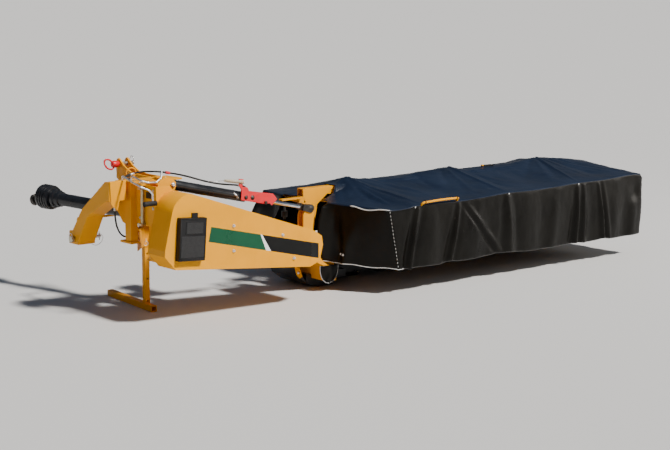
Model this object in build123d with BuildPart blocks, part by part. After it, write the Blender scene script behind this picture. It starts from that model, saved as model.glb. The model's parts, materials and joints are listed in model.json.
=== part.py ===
# Six-disc rear-mounted disc mower, parked on its stand and skids.
# Millimetres.  +X runs outboard along the cutterbar, +Y forward to the tractor,
# +Z up.  The working datum is the floor point below the canopy's rear inner
# corner; every finished piece is then moved so that the middle of the footprint
# is the origin (FOOTPRINT_X, FOOTPRINT_Y).
import os
from math import atan2, cos, degrees, hypot, pi, radians, sin, tan

from build123d import *

os.makedirs("parts", exist_ok=True)

# ---------------------------------------------------------------- datums
FOOTPRINT_X, FOOTPRINT_Y = 328.25, 1001.393

HITCH_X = -1585.0          # middle of the three-point hitch
LOWER_PIN_HALF = 412.5     # half the lower pin spread (category II)
LOWER_PIN_Y, LOWER_PIN_Z = 1070.0, 505.0
TOP_PIN_Y, TOP_PIN_Z = 1164.0, 990.0

LIFT_X, LIFT_Z = -720.0, 405.0        # cutterbar lift hinge, axis along Y
CYL_Y = 500.0                         # plane of the lift cylinder
CYL_X, CYL_Z = -1658.0, 917.0         # fixed pin of the cylinder
EYE_X, EYE_Z = -435.0, 637.0          # rod eye at rest

DRIVE_BASE = (-1490.0, 395.0, 635.0)  # input universal joint
DRIVE_YAW, DRIVE_RISE = 12.88, 2.3    # parked on its hook, degrees
DRIVE_JOINT = 1500.0                  # tractor-side joint, along the shaft
YOKE_DROP = 19.0                      # how far the free yoke hangs, degrees

SHIELD_REAR, SHIELD_FRONT = 140.0, 335.0
SHIELD_WALL = 4.0

CANOPY_IN, CANOPY_OUT = -70.0, 2750.0
CANOPY_REAR, CANOPY_FRONT, CANOPY_FRONT_HEM = 0.0, 1380.0, 1500.0
EDGE_IN_Z, EDGE_OUT_Z, EDGE_FRONT_Z = 635.0, 690.0, 650.0   # roof edge: rear inner, rear outer, front
RIDGE_Z, HEM_Z = 812.0, 196.0
RIDGE_Y = 630.0
RIDGE_IN, RIDGE_OUT = 50.0, 2420.0
SKIN = 4.0

DISC_COUNT, DISC_FIRST_X, DISC_PITCH, DISC_Y = 6, 240.0, 390.0, 920.0
DISC_LONG, DISC_SHORT, KNIFE_REACH = 172.0, 112.0, 224.0
BAR_BOTTOM, BAR_TOP = 48.0, 108.0

STAND_X, STAND_Y = -1657.0, 790.0
STAND_TUBE, STAND_WALL = 38.0, 3.5
FOOT_TURN = 6.2                       # the T-foot sits a little askew

HOSE_R, PIPE_R = 6.0, 6.5             # hydraulic hose and bent guide rods

TO_CENTRE = Location((-FOOTPRINT_X, -FOOTPRINT_Y, 0))


# ---------------------------------------------------------------- helpers
def block(x0, x1, y0, y1, z0, z1, mode=Mode.ADD):
    with Locations(((x0 + x1) / 2, (y0 + y1) / 2, (z0 + z1) / 2)):
        Box(x1 - x0, y1 - y0, z1 - z0, mode=mode)


def rod_y(x, z, y0, y1, r, mode=Mode.ADD):
    with Locations((x, (y0 + y1) / 2, z)):
        Cylinder(r, y1 - y0, rotation=(90, 0, 0), mode=mode)


def rod_x(y, z, x0, x1, r, mode=Mode.ADD):
    with Locations(((x0 + x1) / 2, y, z)):
        Cylinder(r, x1 - x0, rotation=(0, 90, 0), mode=mode)


def rod_z(x, y, z0, z1, r, mode=Mode.ADD):
    with Locations((x, y, (z0 + z1) / 2)):
        Cylinder(r, z1 - z0, mode=mode)


def facing_rear(y):
    # local x = +X, local y = +Z, extrudes towards the rear
    return Plane(origin=(0, y, 0), x_dir=(1, 0, 0), z_dir=(0, -1, 0))


def facing_out(x):
    # local x = +Y, local y = +Z, extrudes outboard
    return Plane(origin=(x, 0, 0), x_dir=(0, 1, 0), z_dir=(1, 0, 0))


def plate(plane, points, thick, mode=Mode.ADD):
    with BuildSketch(plane) as outline:
        with BuildLine():
            Polyline(*points, close=True)
        make_face()
    extrude(to_extrude=outline.sketch, amount=thick, mode=mode)


def turn_at(points, i):
    before = Vector(*points[i]) - Vector(*points[i - 1])
    after = Vector(*points[i + 1]) - Vector(*points[i])
    return before.get_angle(after), min(before.length, after.length)


def round_bar(points, r, bend=None):
    """A round bar or hose through the points; a hose bends as gently as its runs allow."""
    radii = []
    for i in range(1, len(points) - 1):
        turn, run = turn_at(points, i)
        radii.append(bend if bend else 0.45 * run / tan(radians(turn) / 2))
    with BuildLine() as route:
        FilletPolyline(*points, radius=radii)
    with BuildSketch(Plane(origin=points[0], z_dir=Vector(*points[1]) - Vector(*points[0]))) as section:
        Circle(r)
    sweep(sections=section.sketch, path=route.line)
    return sum(edge.length for edge in route.edges()), min(radii)


def save(piece, name, about=None, degrees_turned=0):
    whole = piece.part.rotate(about, degrees_turned) if about else piece.part
    whole = whole.moved(TO_CENTRE)
    whole.label = name
    export_step(whole, "parts/" + name + ".step")


# ---------------------------------------------------------------- hitch
ARM_HALF = 67.5
EAR = 16.0
LEFT_PROFILE = [  # y, z of the gooseneck's side
    (602, 955), (656, 948), (956, 729), (1085, 565), (1128, 559), (1132, 470),
    (1009, 470), (1009, 490), (887, 681), (641, 818), (602, 818)]
RIGHT_PROFILE = [
    (612, 700), (880, 700), (1010, 660), (1097, 572), (1128, 559), (1132, 470),
    (1009, 470), (1009, 490), (930, 560), (612, 560)]
ARMS = [  # name, centre x, side profile, y where the slot between the ears starts at its top
    ("hitch_arm_left", HITCH_X - LOWER_PIN_HALF, LEFT_PROFILE, 972),
    ("hitch_arm_right", HITCH_X + LOWER_PIN_HALF, RIGHT_PROFILE, 990)]
for arm_name, arm_x, profile, slot_y in ARMS:
    with BuildPart() as arm:
        plate(facing_out(arm_x - ARM_HALF), profile, 2 * ARM_HALF)
        plate(facing_out(arm_x - ARM_HALF + EAR),
              [(1023, 440), (1200, 440), (1200, 575), (slot_y, 575), (1023, 492)],
              2 * (ARM_HALF - EAR), mode=Mode.SUBTRACT)
        rod_x(LOWER_PIN_Y, LOWER_PIN_Z, arm_x - 80, arm_x + 80, 14.0, mode=Mode.SUBTRACT)
        if arm_name == "hitch_arm_left":
            # tapered cover plate over the arm's rear end
            plate(facing_rear(602), [(-2062, 955), (-2055, 802), (-2006, 754), (-1951, 955)], 10)
    save(arm, arm_name)

with BuildPart() as hitch_beam:
    block(HITCH_X - LOWER_PIN_HALF + ARM_HALF, -1500, 640, 740, 835, 940)
    # sloping strut down to the right-hand arm
    plate(facing_rear(740), [(-1560, 885), (-1560, 760), (-1500, 720), (-1240, 565), (-1240, 697),
                             (-1500, 850)], 100)
save(hitch_beam, "hitch_beam")

with BuildPart() as lower_link_pins:
    for _, arm_x, _, _ in ARMS:
        rod_x(LOWER_PIN_Y, LOWER_PIN_Z, arm_x - 88, arm_x + 88, 14.0)
        rod_x(LOWER_PIN_Y, LOWER_PIN_Z, arm_x - 96, arm_x - 68.5, 22.0)
save(lower_link_pins, "lower_link_pins")

MAST_PROFILE = [  # y, z
    (740, 835), (1150, 862), (1197, 885), (1201, 985), (1194, 1015), (1177, 1030),
    (1158, 1025), (1100, 980), (1020, 946), (900, 938), (740, 936)]
MAST_GAP, MAST_THICK = 56.0, 14.0
with BuildPart() as mast_plates:
    for side in (-1, 1):
        x_in = HITCH_X + side * MAST_GAP / 2 - (MAST_THICK if side < 0 else 0)
        plate(facing_out(x_in), MAST_PROFILE, MAST_THICK)
    rod_x(TOP_PIN_Y, TOP_PIN_Z, HITCH_X - 60, HITCH_X + 60, 12.7, mode=Mode.SUBTRACT)
save(mast_plates, "mast_plates")

with BuildPart() as top_link_pin:
    rod_x(TOP_PIN_Y, TOP_PIN_Z, HITCH_X - 75, HITCH_X + 76, 12.7)
    rod_x(TOP_PIN_Y, TOP_PIN_Z, HITCH_X - 96, HITCH_X - 50, 21.0)
save(top_link_pin, "top_link_pin")

# upright posts below the beam, with their webs and foot plates
with BuildPart() as headstock_posts:
    block(-1905, -1850, 585, 660, 530, 834.9)
    block(-1905, -1850, 585, 639.9, 834.9, 930)
    block(-1912, -1838, 578, 716, 516, 530)
    block(-1850, -1838, 678, 716, 530, 572)          # hose bulkhead
    plate(facing_out(-1905), [(660, 650), (690, 655), (760, 735), (760, 834.9), (660, 834.9)], 12)
    block(-1330, -1270, 550, 639.9, 470, 720)
    block(-1342, -1258, 550, 652, 456, 470)
save(headstock_posts, "headstock_posts")

# carrier frame between the posts and the belt housing
with BuildPart() as carrier_frame:
    plate(facing_out(-1862), [(345, 930), (345, 745), (372, 690), (420, 655), (510, 650), (560, 660),
                              (585, 660), (585, 930)], 12)
    block(-1862, -1800, 355, 510, 655, 667)
    block(-1812, -1800, 355, 510, 400, 655)          # lower left side
    block(-1322, -1310, 355, 550, 400, 700)          # right side
    plate(facing_rear(355), [(-1812, 400), (-1812, 655), (-1862, 655), (-1862, 930), (-1752, 930),
                             (-1700, 868), (-1310, 735), (-1310, 400)], 12)
    block(-1812, -1310, 355, 541, 400, 412)          # floor
    block(-1912, -1776, 440, 640, 930, 942)          # deck
    block(-1776, -1500, 560, 640, 930, 942)
    block(-1850, -1740, 355, 510, 838, 850)
    rod_y(DRIVE_BASE[0], DRIVE_BASE[2], 300, 400, 96, mode=Mode.SUBTRACT)
    rod_z(-1876, 490, 920, 950, 11, mode=Mode.SUBTRACT)
save(carrier_frame, "carrier_frame")

# cylinder bracket on the frame, with its pin
with BuildPart() as cylinder_bracket:
    block(-1776, -1762, 448, 560, 850, 942)
    for y0 in (CYL_Y - 52, CYL_Y + 48):
        plate(facing_rear(y0 + 12), [(-1776, 850), (-1700, 858), (-1640, 880), (-1628, 905), (-1630, 935),
                                     (-1660, 962), (-1716, 972), (-1776, 942)], 12)
    rod_y(CYL_X, CYL_Z, CYL_Y - 60, CYL_Y + 60, 14.0)
save(cylinder_bracket, "cylinder_bracket")

# main arm out to the lift hinge, with the hinge pin
ARM_Y0, ARM_Y1 = 357.0, 447.0
PIN_R = 25.0
with BuildPart() as main_arm:
    plate(facing_rear(ARM_Y1),
          [(-1310, 430), (-1310, 610), (-1180, 600), (-760, 462), (-690, 445), (-690, 350), (-780, 338)],
          ARM_Y1 - ARM_Y0)
    rod_y(LIFT_X, LIFT_Z, ARM_Y0, ARM_Y1, 66)
    rod_y(LIFT_X, LIFT_Z, ARM_Y1, 668, PIN_R)
save(main_arm, "main_arm")

# stand sleeve with its two lug plates
half = STAND_TUBE / 2
with BuildPart() as stand_sleeve:
    block(STAND_X - half - 8, STAND_X + half + 8, STAND_Y - half - 8, STAND_Y + half + 8, 448, 598)
    for z0 in (540, 582):
        plate(Plane.XY.offset(z0), [(-1849.9, 590), (STAND_X - half - 8, STAND_Y - half - 6),
                                    (STAND_X - half - 8, STAND_Y + half + 6), (-1849.9, 659)], 11)
    block(STAND_X - half - 0.6, STAND_X + half + 0.6, STAND_Y - half - 0.6, STAND_Y + half + 0.6,
          440, 620, mode=Mode.SUBTRACT)
save(stand_sleeve, "stand_sleeve")

# plated pivot rod with its two lugs
with BuildPart() as pivot_rod:
    rod_z(-1876, 490, 650, 955, 11)
    block(-1905, -1862, 470, 510, 655, 668)
    block(-1905, -1862, 470, 510, 900, 912)
save(pivot_rod, "pivot_rod")

with BuildPart() as storage_peg:
    rod_x(318, 826, -1974, -1879, 17)
save(storage_peg, "storage_peg")

# parking hook of the driveline, welded to the left arm
with BuildPart() as driveline_hook:
    rod_x(1240, 611, -1929.5, -1625, 9)
    plate(facing_out(-1929.5), [(1000, 575), (1010, 640), (1240, 626), (1256, 604), (1240, 594), (1130, 570)], 10)
save(driveline_hook, "driveline_hook")

# bent rods that guide the hose over the frame
GUIDE_RODS = [  # bend radius, then x, y, z of the corners
    (16.0, [(-1903, 575, 942.5), (-1903, 573, 984), (-1905, 455, 964), (-1862, 430, 949), (-1802, 430, 947),
            (-1761, 430, 973), (-1746, 446, 1022)]),
    (14.0, [(-1950, 615, 955.0), (-1952, 612, 985), (-1976, 450, 958), (-1978, 350, 940), (-1925, 328, 914),
            (-1905, 320, 888), (-1904, 318, 843.5)])]
with BuildPart() as hose_guides:
    for bend, corners in GUIDE_RODS:
        round_bar(corners, PIPE_R, bend)
save(hose_guides, "hose_guides")

# ---------------------------------------------------------------- belt housing
BEVEL_BACK = 175.0                    # where the right end turns straight forward
with BuildPart() as shield_cover:
    with BuildSketch(facing_rear(SHIELD_FRONT)) as shield_face:
        with BuildLine():
            Polyline((-1716, 893), (-652, 536), (-565, 487), (-555, 420), (-585, 310), (-704, 284),
                     (-1850, 395), (-1935, 490), (-1932, 530), (-1872, 780))
            TangentArc((-1872, 780), (-1716, 893), tangent=(0.233, 0.972))
        make_face()
    extrude(amount=SHIELD_FRONT - SHIELD_REAR)
    # sloping facet at the right-hand end
    plate(Plane.XY.offset(250), [(-690, 139.9), (-540, 139.9), (-540, BEVEL_BACK), (-575, BEVEL_BACK)],
          400, mode=Mode.SUBTRACT)
    # (room right-hand limit, rear wall) of the two steps of the inside
    for x_limit, y_wall in [(-700.0, SHIELD_REAR + SHIELD_WALL), (-500.0, BEVEL_BACK + 2 * SHIELD_WALL)]:
        with BuildSketch(Plane.XY, mode=Mode.PRIVATE) as shield_room:
            add(facing_rear(SHIELD_FRONT).to_local_coords(shield_face.sketch))
            offset(amount=-SHIELD_WALL)
            with Locations(((x_limit - 2000) / 2, 600)):
                Rectangle(x_limit + 2000, 900, mode=Mode.INTERSECT)
        extrude(to_extrude=facing_rear(SHIELD_FRONT + 1) * shield_room.sketch_local,
                amount=SHIELD_FRONT + 1 - y_wall, mode=Mode.SUBTRACT)
save(shield_cover, "shield_cover")

with BuildPart() as shield_back:
    extrude(to_extrude=shield_face.sketch.moved(Location((0, 7, 0))), amount=6)
    rod_y(DRIVE_BASE[0], DRIVE_BASE[2], 330, 350, 70, mode=Mode.SUBTRACT)
save(shield_back, "shield_back")

PULLEYS = [  # x, z, radius
    (DRIVE_BASE[0], DRIVE_BASE[2], 150.0),
    (LIFT_X, LIFT_Z, 58.0)]
with BuildPart() as drive_pulleys:
    for px, pz, pr in PULLEYS:
        rod_y(px, pz, 185, 300, pr)
        rod_y(px, pz, 300, 335.9, 32)
save(drive_pulleys, "drive_pulleys")

with BuildPart() as input_guard:
    rod_y(DRIVE_BASE[0], DRIVE_BASE[2], 342, 440, 92)
    rod_y(DRIVE_BASE[0], DRIVE_BASE[2], 349, 441, 86, mode=Mode.SUBTRACT)
    rod_y(DRIVE_BASE[0], DRIVE_BASE[2], 330, 360, 36, mode=Mode.SUBTRACT)
save(input_guard, "input_guard")

# document box on the housing's rear face, with a door hinged along its bottom edge
BOX_X0, BOX_X1, BOX_Z0, BOX_Z1 = -1842.0, -1632.0, 462.0, 738.0
BOX_HINGE_Y, BOX_HINGE_Z, BOX_PIN = 104.0, 456.0, 3.0
KNUCKLE = 20.0
BOX_LEAN = (Axis((-1737, 0, 600), (0, 1, 0)), 4.0)          # the box hangs a little out of level
with BuildPart() as document_box:
    block(BOX_X0, BOX_X1, 112, 140, BOX_Z0, BOX_Z1)
    block(BOX_X0 + 4, BOX_X1 - 4, 100, 135, BOX_Z0 + 4, BOX_Z1 - 4, mode=Mode.SUBTRACT)
    for x0 in (BOX_X0, BOX_X1 - KNUCKLE):
        rod_x(BOX_HINGE_Y, BOX_HINGE_Z, x0, x0 + KNUCKLE, 6)
        block(x0, x0 + KNUCKLE, BOX_HINGE_Y, 140, BOX_HINGE_Z - 6, BOX_Z0)
    rod_x(BOX_HINGE_Y, BOX_HINGE_Z, BOX_X0, BOX_X1, BOX_PIN)
save(document_box, "document_box", *BOX_LEAN)

with BuildPart() as document_box_door:
    block(BOX_X0, BOX_X1, 98, 111.6, BOX_Z0 + 0.5, BOX_Z1)
    block(BOX_X0 + 4, BOX_X1 - 4, 102, 120, BOX_Z0 + 4.5, BOX_Z1 - 4, mode=Mode.SUBTRACT)
    block(-1752, -1706, 98, 111.6, BOX_Z1, 772)              # latch tab
    block(-1798, -1651, 96.5, 98, 627, 715)                  # raised panel
    block(BOX_X0 + KNUCKLE + 0.5, BOX_X1 - KNUCKLE - 0.5, 98, 110, BOX_HINGE_Z, BOX_Z0 + 0.5)
    rod_x(BOX_HINGE_Y, BOX_HINGE_Z, BOX_X0 + KNUCKLE + 0.5, BOX_X1 - KNUCKLE - 0.5, 6)
    rod_x(BOX_HINGE_Y, BOX_HINGE_Z, BOX_X0, BOX_X1, BOX_PIN + 0.05, mode=Mode.SUBTRACT)
save(document_box_door, "document_box_door", *BOX_LEAN)

# ---------------------------------------------------------------- stand
with BuildPart() as stand_leg:
    block(STAND_X - half, STAND_X + half, STAND_Y - half, STAND_Y + half, 42, 590)
    block(STAND_X - half + STAND_WALL, STAND_X + half - STAND_WALL,
          STAND_Y - half + STAND_WALL, STAND_Y + half - STAND_WALL, 50, 610, mode=Mode.SUBTRACT)
    with Locations(Location((STAND_X, STAND_Y, 0), (0, 0, -FOOT_TURN))):
        with Locations((-4, 221, 22.5)):
            Box(45, 688, 45)
            Box(37, 700, 37, mode=Mode.SUBTRACT)
    for z0 in (60, 219, 397):
        rod_y(STAND_X, z0, STAND_Y - 40, STAND_Y + 40, 7, mode=Mode.SUBTRACT)
save(stand_leg, "stand_leg")

# ---------------------------------------------------------------- driveline
yaw, rise = radians(DRIVE_YAW), radians(DRIVE_RISE)
DRIVE_DIR = (-sin(yaw) * cos(rise), cos(yaw) * cos(rise), sin(rise))
DRIVE_SIDE = (cos(yaw), sin(yaw), 0)
drive_plane = Plane(origin=DRIVE_BASE, x_dir=DRIVE_SIDE, z_dir=DRIVE_DIR)
print("drive axis", [round(v, 5) for v in DRIVE_DIR], "side", [round(v, 5) for v in DRIVE_SIDE])

GUARD_STEPS = [  # start, end, outer radius of the guard tube along the shaft
    (12.0, 150.0, 62.0), (150.0, 1330.0, 46.0), (1330.0, 1372.0, 56.0), (1372.0, 1415.0, 68.0)]
BELL_RINGS = [  # start, end, radius of the tractor-side bell
    (1415.0, 1431.0, 84.0), (1431.0, 1443.0, 90.0), (1443.0, 1455.0, 84.0), (1455.0, 1467.0, 91.0),
    (1467.0, 1479.0, 85.0), (1479.0, 1491.0, 91.0), (1491.0, 1503.0, 85.0), (1503.0, 1515.0, 91.0),
    (1515.0, 1528.0, 87.0)]
GUARD_PIECES = [  # name, its rings, inner radius beyond the first 15 mm
    ("driveline_guard", GUARD_STEPS, 34.0), ("driveline_bell", BELL_RINGS, 78.0)]
for guard_name, rings, room in GUARD_PIECES:
    start, end = rings[0][0], rings[-1][1]
    with BuildPart(drive_plane) as guard:
        for s0, s1, r in rings:
            with Locations((0, 0, (s0 + s1) / 2)):
                Cylinder(r, s1 - s0)
        with Locations((0, 0, (start + end) / 2)):
            Cylinder(34, end - start + 20, mode=Mode.SUBTRACT)
        with Locations((0, 0, (start + 15 + end + 20) / 2)):
            Cylinder(room, end - start + 5, mode=Mode.SUBTRACT)
    save(guard, guard_name)

with BuildPart(drive_plane) as driveline_shaft:
    with Locations((0, 0, 740)):
        Cylinder(22, 1400)
    with Locations((0, 0, 24)):
        Cylinder(30, 48)
    with Locations((0, 0, 1430)):
        Cylinder(32, 60)
    for side in (-1, 1):
        with Locations((side * 30, 0, 1480)):
            Box(12, 44, 74)
    with Locations((0, 0, 1500)):
        Cylinder(11, 72, rotation=(0, 90, 0))
save(driveline_shaft, "driveline_shaft")

yoke_pitch = rise - radians(YOKE_DROP)
YOKE_DIR = (-sin(yaw) * cos(yoke_pitch), cos(yaw) * cos(yoke_pitch), sin(yoke_pitch))
joint_point = tuple(DRIVE_BASE[i] + DRIVE_JOINT * DRIVE_DIR[i] for i in range(3))
yoke_plane = Plane(origin=joint_point, x_dir=DRIVE_SIDE, z_dir=YOKE_DIR)
print("yoke joint", [round(v, 2) for v in joint_point], "dir", [round(v, 5) for v in YOKE_DIR])
PTO_BORE = 17.5
with BuildPart(yoke_plane) as tractor_yoke:
    for side in (-1, 1):
        with Locations((0, side * 27, 14)):
            Box(40, 12, 62)
        with Locations((0, side * 16.5, 0)):
            Cylinder(9, 9, rotation=(90, 0, 0))
    with Locations((0, 0, 55)):
        Cylinder(33, 24)
    with Locations((0, 0, 106)):
        Cylinder(29, 80)
    with Locations((0, 0, 120)):
        Cylinder(42, 30)
    with Locations((0, 0, 110)):
        Cylinder(PTO_BORE, 74, mode=Mode.SUBTRACT)
save(tractor_yoke, "tractor_yoke")

# ---------------------------------------------------------------- lift cylinder
CYL_DIR = (EYE_X - CYL_X, EYE_Z - CYL_Z)
CYL_LENGTH = hypot(*CYL_DIR)
cyl_axis = (CYL_DIR[0] / CYL_LENGTH, 0, CYL_DIR[1] / CYL_LENGTH)
cyl_plane = Plane(origin=(CYL_X, CYL_Y, CYL_Z), x_dir=(0, 1, 0), z_dir=cyl_axis)
print("cylinder length", round(CYL_LENGTH, 2), "axis", [round(v, 5) for v in cyl_axis])
BARREL_R, ROD_R = 36.0, 14.0
LOCK_S = 640.0                         # lock pivot, along the cylinder
with BuildPart(cyl_plane) as cylinder_barrel:
    with Locations((0, 0, 345)):
        Cylinder(BARREL_R, 630)
    with Locations((0, 0, 40)):
        Box(50, 44, 60)
    with Locations((0, 0, 0)):
        Cylinder(30, 50, rotation=(0, 90, 0))
    with Locations((0, 0, 0)):
        Cylinder(14.06, 80, rotation=(0, 90, 0), mode=Mode.SUBTRACT)
    with Locations((0, 0, 475)):
        Cylinder(ROD_R + 0.06, 770, mode=Mode.SUBTRACT)
    # stub that carries the stroke lock
    with Locations((-40, 0, LOCK_S)):
        Cylinder(13, 12, rotation=(0, 90, 0))
    # oil port with its elbow, and the clip of the hose near the base
    with Locations((0, 57, 642)):
        Box(22, 46, 20)
    with Locations((0, 74, 622)):
        Cylinder(8, 20)
save(cylinder_barrel, "cylinder_barrel")

with BuildPart(cyl_plane) as cylinder_rod:
    with Locations((0, 0, (620 + CYL_LENGTH - 25) / 2)):
        Cylinder(ROD_R, CYL_LENGTH - 25 - 620)
    with Locations((0, 0, CYL_LENGTH - 46)):
        Cylinder(18, 54)
    with Locations((0, 0, CYL_LENGTH)):
        Cylinder(28, 36, rotation=(0, 90, 0))
        Cylinder(15, 60, rotation=(0, 90, 0), mode=Mode.SUBTRACT)
save(cylinder_rod, "cylinder_rod")

# red stroke lock on the rear side of the barrel's end
LOCK_OUTLINE = [  # x, z
    (-1095, 912), (-1055, 906), (-1066, 853), (-1022, 845), (-1006, 818), (-793, 780), (-756, 738),
    (-805, 697), (-820, 713), (-865, 712), (-1078, 758), (-1073, 831), (-1094, 862)]
with BuildPart() as cylinder_lock:
    plate(facing_rear(CYL_Y - 46), LOCK_OUTLINE, 7)
save(cylinder_lock, "cylinder_lock")

# ---------------------------------------------------------------- hoses
def along_cylinder(s, n):
    # distance along the cylinder from its pin, and distance above its axis
    return (CYL_X + s * cyl_axis[0] - n * cyl_axis[2], CYL_Y, CYL_Z + s * cyl_axis[2] + n * cyl_axis[0])


HOSE_SEAM = along_cylinder(-18, 75)
FEED_ROUTE = [(-1896, 598, 990), (-1860, 582, 1003), (-1822, 562, 1008), (-1782, 538, 1009), (-1745, 514, 1008),
              along_cylinder(-55, 73.724), HOSE_SEAM]
LIFT_ROUTE = [HOSE_SEAM, along_cylinder(40, 77), along_cylinder(110, 76), along_cylinder(190, 71),
              along_cylinder(275, 64), along_cylinder(360, 60), along_cylinder(445, 62), along_cylinder(525, 69),
              along_cylinder(580, 74), along_cylinder(612, 74)]
LOOP_ROUTE = [(-1966, 690, 765), (-1966, 690, 717), (-1962, 690, 670), (-1950, 691, 624), (-1930, 693, 584),
              (-1902, 696, 558), (-1875, 698, 550), (-1850, 698, 550)]
HOSES = [("feed_hose", FEED_ROUTE), ("lift_hose", LIFT_ROUTE), ("loop_hose", LOOP_ROUTE)]
for hose_name, route in HOSES:
    with BuildPart() as hose:
        length, tightest = round_bar(route, HOSE_R)
        print(hose_name, "length", round(length, 1), "tightest radius", round(tightest, 1),
              "volume ratio", round(hose.part.volume / (pi * HOSE_R ** 2 * length), 4))
    save(hose, hose_name)

# hose ends: coupler on its stalk above the frame, and the gland under the left arm
with BuildPart() as hose_fittings:
    rod_z(-1903, 601, 942.05, 986, 6)
    with BuildSketch(Plane(origin=FEED_ROUTE[0],
                           z_dir=Vector(*FEED_ROUTE[0]) - Vector(*FEED_ROUTE[1]))) as coupler_end:
        Circle(9)
    extrude(to_extrude=coupler_end.sketch, amount=34)
    rod_z(-1966, 690, 765, 800, 11)
    plate(facing_out(-1990), [(620, 829.6), (887, 680.9), (887, 900), (620, 900)], 60, mode=Mode.SUBTRACT)
save(hose_fittings, "hose_fittings")

# ---------------------------------------------------------------- cutter unit
ARM_TOP = [(-720, 462), (-520, 440), (-400, 330), (-305, 220)]      # x, z of the lift arm's top edge
with BuildPart() as lift_arm:
    rod_y(LIFT_X, LIFT_Z, 449, 640, 60)
    plate(facing_rear(640), [(-720, 345)] + ARM_TOP + [(-262, 196), (-190, 190), (-190, 75), (-280, 75),
                                                     (-300, 190), (-450, 270), (-560, 318)], 180)
    rod_y(LIFT_X, LIFT_Z, 440, 660, PIN_R + 0.06, mode=Mode.SUBTRACT)
save(lift_arm, "lift_arm")

with BuildPart() as lift_lugs:
    for y0 in (CYL_Y - 34, CYL_Y + 22):
        plate(facing_rear(y0 + 12), [(-500, 421.72), (-500, 590), (-478, 655), (-450, 672), (-420, 672),
                                     (-398, 650), (-400, 560), (-420, 348.39)], 12)
save(lift_lugs, "lift_lugs")

TUBE_Y0, TUBE_Y1, TUBE_Z0, TUBE_Z1 = 600.0, 660.0, 704.0, 764.0
with BuildPart() as canopy_beam:
    block(-403, 2400, TUBE_Y0, TUBE_Y1, TUBE_Z0, TUBE_Z1)
    block(-410, 2410, TUBE_Y0 + 5, TUBE_Y1 - 5, TUBE_Z0 + 5, TUBE_Z1 - 5, mode=Mode.SUBTRACT)
save(canopy_beam, "canopy_beam")

with BuildPart() as beam_post:
    plate(facing_rear(639.9), [(-400, 330.05), (-330, 249.11), (-245, 703.95), (-315, 703.95)], 39.9)
    plate(facing_rear(TUBE_Y0), [(-403, 764), (-403, 702), (-335, 600), (-324, 599), (-118, 745), (-108, 763)], 10)
    # ledge for the rest buffers, left of the tube's end
    plate(facing_rear(TUBE_Y0), [(-623, 709), (-623, 697), (-540, 697), (-403, 650), (-390, 670), (-403, 709)], 10)
    block(-623, -430, 560, 600, 697, 709)
save(beam_post, "beam_post")

with BuildPart() as rest_buffers:
    rod_z(-588, 575, 560, 697, 9)
    rod_z(-588, 575, 578, 620, 24)
save(rest_buffers, "rest_buffers")

RIBS = [  # x, crest height of the bows; three carry the cloth above the tube
    (-40.0, 646.0), (50.0, 785.0), (600.0, 735.0), (1135.0, 785.0), (1660.0, 735.0), (2162.0, 785.0),
    (2715.0, 646.0)]
BAR = 22.0
with BuildPart() as canopy_frame:
    for x, crest in RIBS:
        plate(facing_out(x - BAR / 2),
              [(20, 600), (20, 622), (RIDGE_Y - 30, crest), (RIDGE_Y + 30, crest), (1360, 622), (1360, 600),
               (RIDGE_Y + 30, crest - 27), (RIDGE_Y - 30, crest - 27)], BAR)
    for y in (20, 1338):
        block(RIBS[0][0], RIBS[-1][0], y, y + BAR, 600, 622)
    block(-403, 2400, TUBE_Y0, TUBE_Y1, TUBE_Z0, TUBE_Z1, mode=Mode.SUBTRACT)
save(canopy_frame, "canopy_frame")

# canopy: a hipped roof sheet and four hanging curtains; the inner end steps out in plan
REAR_IN = (CANOPY_IN, CANOPY_REAR, EDGE_IN_Z)
REAR_OUT = (CANOPY_OUT, CANOPY_REAR, EDGE_OUT_Z)
INNER_1, INNER_2, INNER_3 = (-205, 357, EDGE_FRONT_Z), (-240, 520, EDGE_FRONT_Z), (-240, 1000, EDGE_FRONT_Z)
FRONT_IN = (-171, CANOPY_FRONT, EDGE_FRONT_Z)
FRONT_OUT = (CANOPY_OUT, CANOPY_FRONT, EDGE_FRONT_Z)
CREST_IN = (RIDGE_IN, RIDGE_Y, RIDGE_Z)
CREST_OUT = (RIDGE_OUT, RIDGE_Y, RIDGE_Z)
ROOF = [  # corner points of each facet
    (REAR_IN, REAR_OUT, CREST_IN), (REAR_OUT, CREST_OUT, CREST_IN),
    (FRONT_IN, CREST_IN, FRONT_OUT), (CREST_IN, CREST_OUT, FRONT_OUT),
    (REAR_OUT, FRONT_OUT, CREST_OUT),
    (REAR_IN, CREST_IN, INNER_1), (INNER_1, CREST_IN, INNER_2), (INNER_2, CREST_IN, INNER_3),
    (INNER_3, CREST_IN, FRONT_IN)]
with BuildPart() as canopy_top:
    for corners in ROOF:
        slope = Face(Wire.make_polygon([Vector(*c) for c in corners], close=True))
        extrude(to_extrude=slope, amount=SKIN, dir=(0, 0, -1))
    block(-260, 60, TUBE_Y0 - 18, TUBE_Y1 + 8, 600, 790, mode=Mode.SUBTRACT)
save(canopy_top, "canopy_top")

with BuildPart() as canopy_rear_curtain:
    plate(facing_rear(CANOPY_REAR + SKIN), [(CANOPY_IN, HEM_Z), (CANOPY_OUT, HEM_Z),
                                            (CANOPY_OUT, EDGE_OUT_Z - SKIN), (CANOPY_IN, EDGE_IN_Z - SKIN)], SKIN)
save(canopy_rear_curtain, "canopy_rear_curtain")

CURTAIN_TOP = EDGE_FRONT_Z - SKIN
with BuildPart() as canopy_front_curtain:
    plate(facing_out(FRONT_IN[0]), [(CANOPY_FRONT - SKIN, CURTAIN_TOP), (CANOPY_FRONT, CURTAIN_TOP),
                                    (CANOPY_FRONT_HEM, 250), (CANOPY_FRONT_HEM - SKIN, 250)],
          CANOPY_OUT - FRONT_IN[0])
save(canopy_front_curtain, "canopy_front_curtain")

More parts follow.
